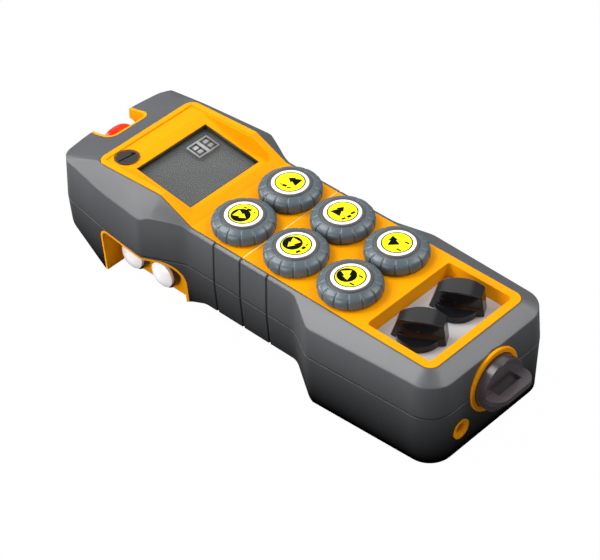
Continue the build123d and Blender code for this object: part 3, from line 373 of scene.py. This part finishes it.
# %% [markdown]
# New pieces are built from plain lists of points and faces. A piece ends with its origin at the
# world's, because its place is in its mesh, as a CAD node's is. Edges that turn by more than
# 35 degrees stay sharp, and the rest shade smooth.

# %% Finishing a piece
SHARP_TURN, WELD_POINTS = radians(35), 1e-7


def finish_piece(name, mesh, finish, body):
    """Turns a mesh into a finished piece that rides on a CAD body."""
    work = bmesh.new()
    work.from_mesh(mesh)
    bmesh.ops.remove_doubles(work, verts=work.verts, dist=WELD_POINTS)
    bmesh.ops.recalc_face_normals(work, faces=work.faces)
    for edge in work.edges:
        edge.smooth = edge.calc_face_angle(pi) < SHARP_TURN
    work.to_mesh(mesh)
    work.free()
    mesh.polygons.foreach_set("use_smooth", [True] * len(mesh.polygons))
    mesh.materials.clear()
    mesh.materials.append(finish)
    piece = bpy.data.objects.new(name, mesh)
    bpy.context.scene.collection.objects.link(piece)
    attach(piece, body)
    return piece


print("edges stay sharp above", round(SHARP_TURN / radians(1)), "degrees")

# %% [markdown]
# Ink and thin strips are flat outlines with a small thickness. They could be textures, but then
# a mesh file would lose them, so each is a thin prism, and a matrix puts it on its surface.

# %% Flat shapes
def prism(outline, low, high):
    """Points and faces of a flat shape with a thickness, from a list of (x, y)."""
    count = len(outline)
    verts = [(x, y, low) for x, y in outline] + [(x, y, high) for x, y in outline]
    walls = [(i, (i + 1) % count, count + (i + 1) % count, count + i) for i in range(count)]
    return verts, [tuple(reversed(range(count))), tuple(range(count, 2 * count))] + walls


def disc(x, y, radius, steps=48):
    """The outline of a round shape."""
    turns = [2 * pi * i / steps for i in range(steps)]
    return [(x + radius * cos(turn), y + radius * sin(turn)) for turn in turns]


def bar(x, y, length, width, angle):
    """A thin rectangle round a point, turned by an angle in degrees."""
    c, s = cos(radians(angle)), sin(radians(angle))
    corners = [(-length, -width), (length, -width), (length, width), (-length, width)]
    return [(x + (a * c - b * s) / 2, y + (a * s + b * c) / 2) for a, b in corners]


def make_prints(name, shapes, place, finish, body):
    """Flat shapes in mm as (outline, low, high), put in place by a matrix, as one piece."""
    verts, faces = [], []
    for outline, low, high in shapes:
        own_verts, own_faces = prism(outline, low, high)
        faces += [tuple(len(verts) + i for i in face) for face in own_faces]
        verts += [place @ (Vector(v) / 1000) for v in own_verts]
    mesh = bpy.data.meshes.new(name)
    mesh.from_pydata([tuple(v) for v in verts], [], faces)
    return finish_piece(name, mesh, finish, body)


print("points round a disc:", len(disc(0, 0, 1)))

# %% [markdown]
# A boot is one lobe repeated round a circle, and so is the toothed ring round the plug. One
# Geometry Nodes tree does both: it puts copies of a sector on the axis, turns each by its share
# of the circle, makes them real and welds the seams.

# %% Ring of sectors
SEAM_WELD = 0.005


def ring_tree(name, finish):
    """A tree that repeats a sector round Z, with its two number inputs."""
    tree = bpy.data.node_groups.new(name + "_tree", "GeometryNodeTree")
    face = tree.interface
    face.new_socket("Sector", in_out="INPUT", socket_type="NodeSocketGeometry")
    count_input = face.new_socket("Sector count", in_out="INPUT", socket_type="NodeSocketInt")
    weld_input = face.new_socket("Weld distance", in_out="INPUT", socket_type="NodeSocketFloat")
    face.new_socket("Ring", in_out="OUTPUT", socket_type="NodeSocketGeometry")
    given = add_node(tree, "NodeGroupInput").outputs
    points = add_node(tree, "GeometryNodePoints", None, {"Count": given["Sector count"]})
    index = add_node(tree, "GeometryNodeInputIndex").outputs[0]
    shares = {0: 2 * pi, 1: given["Sector count"]}
    step = add_node(tree, "ShaderNodeMath", {"operation": "DIVIDE"}, shares).outputs[0]
    angle = add_node(tree, "ShaderNodeMath", {"operation": "MULTIPLY"}, {0: index, 1: step})
    euler = add_node(tree, "ShaderNodeCombineXYZ", None, {"Z": angle.outputs[0]}).outputs[0]
    turned = add_node(tree, "FunctionNodeEulerToRotation", None, {"Euler": euler}).outputs[0]
    placed = {"Points": points.outputs[0], "Instance": given["Sector"], "Rotation": turned}
    copies = add_node(tree, "GeometryNodeInstanceOnPoints", None, placed).outputs[0]
    real = add_node(tree, "GeometryNodeRealizeInstances", None, {"Geometry": copies}).outputs[0]
    close = {"Geometry": real, "Distance": given["Weld distance"]}
    welded = add_node(tree, "GeometryNodeMergeByDistance", None, close).outputs[0]
    dress = {"Geometry": welded, "Material": finish}
    dressed = add_node(tree, "GeometryNodeSetMaterial", None, dress).outputs[0]
    add_node(tree, "NodeGroupOutput", None, {"Ring": dressed})
    return tree, count_input, weld_input


def ring_of(name, verts, faces, count, finish):
    """A mesh of equal sectors round Z, from the points and faces of one sector."""
    tree, count_input, weld_input = ring_tree(name, finish)
    sector = bpy.data.meshes.new(name + "_sector")
    sector.from_pydata([tuple(v) for v in verts], [], faces)
    holder = bpy.data.objects.new(name + "_holder", sector)
    bpy.context.scene.collection.objects.link(holder)
    ring = holder.modifiers.new("ring", "NODES")
    ring.node_group = tree
    ring[count_input.identifier] = count
    ring[weld_input.identifier] = mm(SEAM_WELD)
    evaluated = holder.evaluated_get(bpy.context.evaluated_depsgraph_get())
    made = bpy.data.meshes.new_from_object(evaluated)
    bpy.data.objects.remove(holder)
    return made


def sweep_sector(profile, angles, depth_at):
    """One sector of a turned shape: (radius, height, groove share) rows at angles, in mm."""
    verts = []
    for radius, height, share in profile:
        for angle in angles:
            r = radius - share * depth_at(angle)
            verts.append((mm(r * cos(angle)), mm(r * sin(angle)), mm(height)))
    wide = len(angles)
    faces = [
        (row * wide + i, row * wide + i + 1, (row + 1) * wide + i + 1, (row + 1) * wide + i)
        for row in range(len(profile) - 1)
        for i in range(wide - 1)
    ]
    return verts, faces


print("seams weld within", SEAM_WELD, "mm")

# %% [markdown]
# Each push-button hides under a rubber boot like a small cushion: a lip round the disc, a domed
# crown and fourteen lobes with grooves between them, for a gloved finger. It could be sculpted,
# but a profile in numbers is easier to read and to change. It is a list of radii and heights,
# and the third number says how much of the groove's depth reaches each point.

# %% One lobe of a boot
PANEL_Z = 45.5
BUTTON_X, BUTTON_Y = 14.0, (18.6, -11.4, -41.4)
LOBES, LOBE_R, LOBE_FALL = 14, 13.5, 0.12
GROOVE_HALF_W, GROOVE_DEPTH = 0.55, 0.42
button_places = [(side * BUTTON_X, y) for y in BUTTON_Y for side in (-1, 1)]
boot_profile = [
    (8.5, 5.0, 0), (8.5, 6.45, 0), (8.62, 6.58, 0), (9.4, 6.58, 0), (9.55, 6.3, 0),
    (9.8, 6.3, 0), (9.95, 6.52, 0), (10.3, 6.45, 0.2), (10.9, 6.25, 0.6), (11.5, 5.98, 1),
    (12.3, 5.62, 1), (13.0, 5.12, 1), (13.45, 4.5, 1), (13.75, 3.6, 1), (13.86, 2.7, 1),
    (13.78, 1.7, 1), (13.6, 0.9, 1), (13.25, 0.35, 1), (12.8, 0.02, 1),
]
half_lobe = pi / LOBES
shares = [0, 0.05, 0.1, 0.16, 0.24, 0.5, 0.75, 1.0]
lobe_angles = [half_lobe * (s - 1) for s in shares]
lobe_angles += [half_lobe * (1 - s) for s in reversed(shares[:-1])]


def groove_depth(angle):
    """Depth of the groove between two lobes, widest at the lobe's edge, in mm."""
    off = (half_lobe - abs(angle)) * LOBE_R / GROOVE_HALF_W
    groove = GROOVE_DEPTH * (0.5 + 0.5 * cos(pi * min(off, 1.0)))
    return groove + LOBE_FALL * (angle / half_lobe) ** 2


print("lobe:", len(boot_profile), "rows of", len(lobe_angles), "points")

# %% [markdown]
# A boot folds down as its button goes in. It is one soft skin on the casing, so it takes the CAD
# boot's place.

# %% Ribbed rubber boots
boot_sector = sweep_sector(boot_profile, lobe_angles, groove_depth)
boot_mesh = ring_of("boot", *boot_sector, LOBES, finishes["boot_rubber"])
for number, (x, y) in enumerate(button_places, start=1):
    mesh = boot_mesh.copy()
    mesh.transform(Matrix.Translation((mm(x), mm(y), mm(PANEL_Z))))
    boot = finish_piece(
        f"ribbed_boot_{number}", mesh, finishes["boot_rubber"], "casing"
    )
    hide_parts(f"button_boot_{number}")
    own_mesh(boot)
print("boots:", len(button_places), "of", len(boot_mesh.vertices), "points, lobes:", LOBES)

# %% [markdown]
# A thin warm-grey ring lies on the lip of each boot round the white disc. It could be a torus,
# but its top is flat, so the tree that made the boots repeats a small profile instead.

# %% Rings round the discs
ring_profile = [
    (8.06, 6.59, 0), (8.06, 6.8, 0), (8.14, 6.86, 0), (9.2, 6.86, 0), (9.3, 6.8, 0),
    (9.3, 6.59, 0), (8.06, 6.59, 0),
]
ring_sector = sweep_sector(ring_profile, lobe_angles, groove_depth)
ring_mesh = ring_of("rim", *ring_sector, LOBES, finishes["ring_grey"])
for number, (x, y) in enumerate(button_places, start=1):
    mesh = ring_mesh.copy()
    mesh.transform(Matrix.Translation((mm(x), mm(y), mm(PANEL_Z))))
    rim = finish_piece(f"disc_ring_{number}", mesh, finishes["ring_grey"], "casing")
    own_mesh(rim)
print("disc rings:", len(button_places))

# %% [markdown]
# The return springs shorten under the plungers. A helix could be built anew, but CAD has the
# right one, so each piece is a copy of its CAD solid.

# %% Return springs
for number, (x, y) in enumerate(button_places, start=1):
    mesh = nodes[f"button_spring_{number}"].data.copy()
    mesh.transform(nodes[f"button_spring_{number}"].matrix_world)
    spring = finish_piece(
        f"return_spring_{number}", mesh, finishes["spring_steel"], "casing"
    )
    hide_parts(f"button_spring_{number}")
    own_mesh(spring)

# %% [markdown]
# The overmoulded casing has no sharp edge. CAD leaves the crease between the flanks and the
# sloping facets sharp, so here it is rounded, on a welded copy. A Bevel modifier would take
# every edge of that turn, so a rule picks them instead: none at the grip's grooves, which are
# narrower than the rounding, and none at the stop button's notch.

# %% Which creases are rounded
GROOVE_ZONE, NOTCH_HALF_W = (-13.5, 23.5), 13.5
FLANK_TILT, FACET_TILT = 0.25, 0.35
OUTER_X, HEAD_Y, TAIL_Y = 29.5, 95, -98.5
CREASE_TURN = (radians(12), radians(80))


def is_crease(edge):
    """True for an outer convex edge between a flank and a facet, off the grooves and notch."""
    if len(edge.link_faces) != 2 or not edge.is_convex:
        return False
    low_tilt, high_tilt = sorted(face.normal.z for face in edge.link_faces)
    middle = (edge.verts[0].co + edge.verts[1].co) / 2 * 1000
    flank_to_facet = low_tilt < FLANK_TILT and high_tilt > FACET_TILT
    outside = abs(middle.x) > OUTER_X or middle.y > HEAD_Y or middle.y < TAIL_Y
    in_grooves = GROOVE_ZONE[0] < middle.y < GROOVE_ZONE[1]
    in_notch = abs(middle.x) < NOTCH_HALF_W and middle.y > HEAD_Y
    turns = CREASE_TURN[0] < edge.calc_face_angle(0) < CREASE_TURN[1]
    return turns and flank_to_facet and outside and not in_grooves and not in_notch


print("creases stay sharp over", GROOVE_ZONE[1] - GROOVE_ZONE[0], "mm of the grip")

# %% [markdown]
# The CAD mesh is loose triangles. Welding them and dissolving the flat edges leaves whole facets,
# so that the bevel runs along each crease as one strip.

# %% Rounded creases of the upper casing
CREASE_R, CREASE_STEPS = 1.6, 4
FLAT_TURN, WELD_CAD = radians(0.6), 2e-6
mesh = nodes["upper_shell"].data.copy()
mesh.transform(nodes["upper_shell"].matrix_world)
work = bmesh.new()
work.from_mesh(mesh)
bmesh.ops.remove_doubles(work, verts=work.verts, dist=WELD_CAD)
bmesh.ops.dissolve_limit(work, angle_limit=FLAT_TURN, verts=work.verts, edges=work.edges)
creases = [edge for edge in work.edges if is_crease(edge)]
made = bmesh.ops.bevel(
    work, geom=creases, offset=mm(CREASE_R), offset_type="OFFSET", segments=CREASE_STEPS,
    profile=0.5, affect="EDGES", clamp_overlap=True, loop_slide=True,
)
print("creases:", len(creases), "rounded faces:", len(made["faces"]))
bmesh.ops.triangulate(work, faces=work.faces)
work.to_mesh(mesh)
work.free()
casing = finish_piece(
    "upper_casing_rounded", mesh, finishes["grey_casing"], "casing"
)
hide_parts("upper_shell")

# %% [markdown]
# The legends are screen-printed on the white discs: a yellow field, a thin black ring, and
# plain arrows that tell the direction of the motion. Each layer is a few hundredths thick. The
# left buttons have a yellow arrow on a black disc, and the right ones a black arrow alone.

# %% Where the legends stand
LEGEND_Z, YELLOW_R, MARK_R = PANEL_Z + 7.0, 6.1, 4.2
RING_WIDTH, LONE_ARROW_WIDEN = 0.5, 1.18
# The picture's right and up lie at 45 degrees to the control's own axes
PICTURE_TURN = 45
ACROSS, ALONG = (0.7071, -0.7071), (0.7071, 0.7071)
arrow = [
    (0, 3.0), (1.7, 0.3), (0.9, 0.3), (2.2, -2.7), (-2.2, -2.7), (-0.9, 0.3), (-1.7, 0.3),
]
# Per button: where the black disc or arrow stands, which way the arrow points, and small marks
legends = [
    {
        "round": True, "at": (-1.2, -0.9), "point": 270,
        "marks": [(2.4, 2.3, 2.0, 1.4, -25), (0.8, 3.9, 1.5, 0.7, -40), (4.6, 0.4, 0.6, 0.9, 0)],
    },
    {
        "round": False, "at": (1.7, 0.8), "point": 94,
        "marks": [
            (-2.4, -2.2, 2.0, 1.3, -30), (-0.7, -3.9, 1.6, 0.8, -10), (-3.9, -1.2, 1.0, 0.6, -40),
        ],
    },
    {
        "round": True, "at": (-1.4, 1.0), "point": 180,
        "marks": [(0.7, -4.5, 2.0, 1.2, 30), (3.0, -2.3, 1.8, 1.4, 40), (4.4, -0.6, 1.2, 0.7, 45)],
    },
    {
        "round": False, "at": (-1.4, 0.9), "point": 2,
        "marks": [(0.2, -4.5, 1.8, 1.0, 30), (2.6, -3.2, 1.9, 1.4, 35), (4.2, -1.0, 2.1, 1.2, 35)],
    },
    {
        "round": True, "at": (-1.4, 0.9), "point": 225,
        "marks": [(4.2, -0.4, 2.1, 0.8, -42), (0.4, -4.7, 2.2, 0.8, -42)],
    },
    {
        "round": False, "at": (-1.4, 1.3), "point": 45,
        "marks": [(4.1, -0.5, 2.1, 0.8, -42), (0.5, -4.7, 2.2, 0.8, -42)],
    },
]


def on_panel(x, y, across, along):
    """A place on a disc from offsets to the picture's right and upwards, in mm."""
    return x + across * ACROSS[0] + along * ALONG[0], y + across * ACROSS[1] + along * ALONG[1]


print("legend plane:", LEGEND_Z, "mm above the floor")

# %% [markdown]
# Each layer stands a little higher than the one it covers, so no two faces lie in one plane. All
# of them start just inside the disc.

# %% Printed legends
INK_START, RING_INK, FIELD_INK, MARK_INK, ARROW_INK = -0.02, 0.03, 0.04, 0.06, 0.08
for number, ((x, y), legend) in enumerate(zip(button_places, legends), start=1):
    low = LEGEND_Z + INK_START
    mark_x, mark_y = on_panel(x, y, *legend["at"])
    # The outline of the arrow points along Y, which is 90 degrees
    spin = radians(legend["point"] - 90)
    widen = 1.0 if legend["round"] else LONE_ARROW_WIDEN
    turned = [
        (
            mark_x + widen * a * cos(spin) - b * sin(spin),
            mark_y + widen * a * sin(spin) + b * cos(spin),
        )
        for a, b in arrow
    ]
    yellow = [(disc(x, y, YELLOW_R), low, LEGEND_Z + FIELD_INK)]
    black = [(disc(x, y, YELLOW_R + RING_WIDTH), low, LEGEND_Z + RING_INK)]
    if legend["round"]:
        black.append((disc(mark_x, mark_y, MARK_R), low, LEGEND_Z + MARK_INK))
        yellow.append((turned, low, LEGEND_Z + ARROW_INK))
    else:
        black.append((turned, low, LEGEND_Z + MARK_INK))
    for across, along, length, width, angle in legend["marks"]:
        spot = on_panel(x, y, across, along)
        black.append((bar(*spot, length, width, angle - PICTURE_TURN), low, LEGEND_Z + MARK_INK))
    body = f"button_{number}"
    make_prints(f"legend_yellow_{number}", yellow, Matrix(), finishes["print_yellow"], body)
    make_prints(f"legend_black_{number}", black, Matrix(), finishes["print_black"], body)
print("legends:", len(legends))

# %% [markdown]
# The display shows two unlit digits in a pale field, and a dark strip of painted shade edges its
# window. All of them lie on the tilted bezel's plane. They could be made level and turned
# afterwards, but a matrix that carries their points there leaves every origin in place: x across,
# y up the slope, z out of the screen.

# %% The bezel's plane
WINDOW_HALF, WINDOW_FRONT_Y, WINDOW_BACK_Y, WINDOW_LIP = 20.75, 43.6, 76.0, 2.2
BEZEL_FRONT_Z, BEZEL_BACK_Z = 46.4, 50.5
slope = Vector((0, WINDOW_BACK_Y - WINDOW_FRONT_Y, BEZEL_BACK_Z - BEZEL_FRONT_Z))
half_window = slope.length / 2
upward = slope.normalized()
outward = Vector((1, 0, 0)).cross(upward)
middle_y = (WINDOW_FRONT_Y + WINDOW_BACK_Y) / 2
middle_z = (BEZEL_FRONT_Z + BEZEL_BACK_Z) / 2
middle = Vector((0, mm(middle_y), mm(middle_z)))
tilt = Matrix((Vector((1, 0, 0)), upward, outward)).transposed().to_4x4()
bezel = Matrix.Translation(middle) @ tilt
print("slope of the window:", round(slope.length, 2), "mm")

# %% [markdown]
# Each digit is three bars across and one long bar at each side, because the gap halfway up a
# side is too fine to see. A frame of thin bars edges the pale field. A picture on the film would
# do as well, but a mesh file would lose it, so they are thin prisms, as the legends are.

# %% Display digits
GLASS, FILM_START, FIELD_TOP, SEGMENT_TOP = -WINDOW_LIP, -0.02, 0.02, 0.04
FIELD_X, FIELD_Y, FIELD_W, FIELD_H, FRAME_W = 11.5, 8.5, 12.4, 8.6, 0.3
LEVEL_STEP, LEVEL_LENGTH, LEVEL_W = 2.9, 4.3, 1.1
SIDE_STEP, SIDE_LENGTH, SIDE_W = 1.75, 6.6, 1.0
field = [(bar(FIELD_X, FIELD_Y, FIELD_W, FIELD_H, 0), GLASS + FILM_START, GLASS + FIELD_TOP)]
segments = []
for digit in (-1, 1):
    digit_x = FIELD_X + digit * FIELD_W / 4
    for level in (-1, 0, 1):
        segments.append(bar(digit_x, FIELD_Y + level * LEVEL_STEP, LEVEL_LENGTH, LEVEL_W, 0))
    for side in (-1, 1):
        segments.append(bar(digit_x + side * SIDE_STEP, FIELD_Y, SIDE_W, SIDE_LENGTH, 0))
for side in (-1, 1):
    edge_y = FIELD_Y + side * (FIELD_H + FRAME_W) / 2
    edge_x = FIELD_X + side * (FIELD_W + FRAME_W) / 2
    segments.append(bar(FIELD_X, edge_y, FIELD_W + 2 * FRAME_W, FRAME_W, 0))
    segments.append(bar(edge_x, FIELD_Y, FRAME_W, FIELD_H, 0))
segments = [(outline, GLASS + FILM_START, GLASS + SEGMENT_TOP) for outline in segments]
make_prints("display_field", field, bezel, finishes["segment_pale"], "casing")
make_prints("display_segments", segments, bezel, finishes["segment_dark"], "casing")
print("display segments:", len(segments))

# %% [markdown]
# A dark olive strip round the window in its recess is painted shade: it stands for the shade on
# the recess's inner walls, and shows as a dark line round the window. One closed frame would do,
# but four plain bars are simpler. The end bars stop just short of the side bars, so that none of
# them overlap.

# %% Painted shade round the window
STRIP_W, STRIP_FOOT, STRIP_TOP = 0.28, 0.01, -0.25
SIDE_INSET, END_INSET, SIDE_SHORT, END_SHORT = 0.15, 0.16, 0.02, 0.62
window_shade = []
for side in (-1, 1):
    side_x = side * (WINDOW_HALF - SIDE_INSET)
    end_y = side * (half_window - END_INSET)
    side_bar = bar(side_x, 0, STRIP_W, 2 * half_window - SIDE_SHORT, 0)
    end_bar = bar(0, end_y, 2 * WINDOW_HALF - END_SHORT, STRIP_W, 0)
    window_shade += [(outline, GLASS + STRIP_FOOT, STRIP_TOP) for outline in (side_bar, end_bar)]
make_prints("display_painted_shade_frame", window_shade, bezel, finishes["olive_black_and_painted_shade"], "casing")
print("gasket bars:", len(window_shade))

# %% [markdown]
# A ring of fine teeth surrounds the slotted plug, and a dot on the plug shows how far it is
# turned. The teeth could be cut one by one, but they repeat, so the tree of the boots makes
# them from one sector: a rim with a tooth that stands out from it.

# %% Toothed ring and index dot of the plug
PLUG = Vector((-18.5, 84.1, 51.089))
TEETH, RIM_TILT, TOOTH_DEPTH, TOOTH_EDGE = 30, 3.291, 0.3, 0.48
tooth_profile = [(4.9, 0.0, 0), (4.9, 0.12, 0), (5.2, 0.12, 0), (5.5, 0.12, 1), (5.5, 0.0, 1)]
tooth_angles = [pi / TEETH * s for s in (-1, -0.5, -0.45, 0.45, 0.5, 1)]
plug_place = Matrix.Translation(PLUG / 1000) @ Matrix.Rotation(radians(-RIM_TILT), 4, "X")


def tooth_gap(angle):
    """Full depth between the teeth and none on them, in mm."""
    return TOOTH_DEPTH if abs(angle) > pi / TEETH * TOOTH_EDGE else 0


tooth_sector = sweep_sector(tooth_profile, tooth_angles, tooth_gap)
teeth_mesh = ring_of("teeth", *tooth_sector, TEETH, finishes["olive_black_and_painted_shade"])
teeth_mesh.transform(plug_place)
finish_piece("plug_ring_teeth", teeth_mesh, finishes["olive_black_and_painted_shade"], "casing")
SLOT_ANGLE, DOT_OUT, DOT_ASIDE, DOT_R, DOT_STEPS = radians(-8), 3.5, 0.9, 0.55, 16
dot_x, dot_y = DOT_OUT * cos(SLOT_ANGLE), DOT_OUT * sin(SLOT_ANGLE) + DOT_ASIDE
dot = [(disc(dot_x, dot_y, DOT_R, DOT_STEPS), INK_START, RING_INK)]
make_prints("plug_index_dot", dot, plug_place, finishes["print_black"], "plug")
print("teeth:", TEETH)

# %% [markdown]
# A seam crosses the deck of the front panel, and its fine edge catches the light as a pale line.
# The edge's own radius is too fine to show, so a pale strip, a hundredth of a millimetre proud,
# paints that highlight.

# %% Painted highlight on the panel's seam
SEAM_Y, SEAM_LENGTH, SEAM_W, SEAM_DEPTH, SEAM_PROUD = 5.1, 56.6, 0.38, 0.22, 0.01
seam_outline = bar(0, SEAM_Y, SEAM_LENGTH, SEAM_W, 0)
seam = [(seam_outline, PANEL_Z - SEAM_DEPTH, PANEL_Z + SEAM_PROUD)]
make_prints("panel_seam_painted_highlight", seam, Matrix(), finishes["seam_painted_highlight"], "casing")
print("seam:", SEAM_LENGTH, "mm long")

# %% [markdown]
# The camera stands where the photograph's perspective puts it: in front of the tail, to the
# left and above, and far off with a long lens, so that parallel edges stay nearly parallel.

# %% Camera at the photo's angle
AZIMUTH, ELEVATION, ROLL = radians(-44.948), radians(40.972), radians(-2.458)
DISTANCE, LENS, SENSOR = mm(1010.034), 142.0, 36.0
TARGET = Vector((mm(4.976), mm(6.204), mm(10.86)))
back = Vector((sin(AZIMUTH) * cos(ELEVATION), -cos(AZIMUTH) * cos(ELEVATION), sin(ELEVATION)))
right = Vector((cos(AZIMUTH), sin(AZIMUTH), 0))
up = back.cross(right)
level_right = right * cos(ROLL) + up * sin(ROLL)
level_up = up * cos(ROLL) - right * sin(ROLL)
turn = Matrix((level_right, level_up, back)).transposed().to_4x4()
lens_data = bpy.data.cameras.new("camera")
lens_data.lens = LENS
lens_data.sensor_width = SENSOR
camera = bpy.data.objects.new("camera", lens_data)
camera.matrix_world = Matrix.Translation(TARGET + back * DISTANCE) @ turn
bpy.context.scene.collection.objects.link(camera)
bpy.context.scene.camera = camera
print("camera at", [round(c, 3) for c in camera.location])

# %% [markdown]
# The control lies on a white table. White paint under the lamps would throw too much light back
# on it, so the floor is a mid grey to the light, and glows white only where it is looked at.

# %% Studio floor
FLOOR_HALF, FLOOR_GAP = 4.0, mm(0.05)
FLOOR_WHITE_SHARE, FLOOR_GLOW = 0.96, 1.03


def seen_directly(tree):
    """1 for rays from the camera, also through the clear window, and 0 for all other light."""
    rays = add_node(tree, "ShaderNodeLightPath").outputs
    either = {0: rays["Is Camera Ray"], 1: rays["Is Transmission Ray"]}
    return add_node(tree, "ShaderNodeMath", {"operation": "MAXIMUM"}, either).outputs["Value"]


floor_material, tree, place, output = start_material("studio_floor_white")
factors = {0: seen_directly(tree), 1: FLOOR_WHITE_SHARE}
share = add_node(tree, "ShaderNodeMath", {"operation": "MULTIPLY"}, factors).outputs["Value"]
paint = add_node(tree, "ShaderNodeBsdfDiffuse", None, {"Color": linear("#707070")})
white = {"Color": linear("#FFFFFF"), "Strength": FLOOR_GLOW}
glow = add_node(tree, "ShaderNodeEmission", None, white)
blend = {0: share, 1: paint.outputs["BSDF"], 2: glow.outputs["Emission"]}
mixed = add_node(tree, "ShaderNodeMixShader", None, blend)
tree.links.new(mixed.outputs["Shader"], output.inputs["Surface"])
corners = [(-1, -1), (1, -1), (1, 1), (-1, 1)]
floor_mesh = bpy.data.meshes.new("floor")
floor_points = [(x * FLOOR_HALF, y * FLOOR_HALF, -FLOOR_GAP) for x, y in corners]
floor_mesh.from_pydata(floor_points, [], [(0, 1, 2, 3)])
floor_mesh.materials.append(floor_material)
floor = bpy.data.objects.new("floor", floor_mesh)
bpy.context.scene.collection.objects.link(floor)
print("floor:", 2 * FLOOR_HALF, "m wide")

# %% [markdown]
# The room is white to the eye but lights the control only faintly, so that the undersides stay
# dark. Five square soft boxes do the rest, because their wide, even light gives the soft-edged
# highlights of a product picture: a key over the head, a low one behind it, one at the left for
# the flank, one at the right for the tail's facets, and a weak one at the right behind.

# %% World and lamps
SKY_LIGHT = 0.32
world = bpy.data.worlds.new("studio")
bpy.context.scene.world = world
world.use_nodes = True
tree = world.node_tree
tree.nodes.clear()
levels = {"Value": seen_directly(tree), "To Min": SKY_LIGHT, "To Max": 1.0}
strength = add_node(tree, "ShaderNodeMapRange", None, levels).outputs["Result"]
white = {"Color": linear("#FFFFFF"), "Strength": strength}
sky = add_node(tree, "ShaderNodeBackground", None, white)
output = add_node(tree, "ShaderNodeOutputWorld")
tree.links.new(sky.outputs["Background"], output.inputs["Surface"])


def add_lamp(name, place, aim, size, watts):
    """A square soft box that points at a place."""
    data = bpy.data.lights.new(name, "AREA")
    data.size = size
    data.energy = watts
    lamp = bpy.data.objects.new(name, data)
    lamp.location = place
    lamp.rotation_euler = (Vector(aim) - Vector(place)).to_track_quat("-Z", "Y").to_euler()
    bpy.context.scene.collection.objects.link(lamp)
    return lamp


lamps = [
    add_lamp("soft_box_key", (-0.34, 0.75, 1.13), (0, 0, 0), 0.75, 16),
    add_lamp("soft_box_left", (-1.3, 0.1, 0.45), (0, 0, 0.02), 0.9, 13),
    add_lamp("soft_box_low_back", (-0.42, 1.2, 0.14), (0, 0.05, 0.04), 0.6, 9),
    add_lamp("soft_box_right_front", (0.75, -0.62, 1.0), (0, 0, 0), 0.9, 12),
    add_lamp("soft_box_right_back", (0.72, 0.62, 0.9), (0, 0, 0), 0.9, 2.5),
]
bpy.context.scene.view_settings.view_transform = "Standard"
print("lamps:", len(lamps))
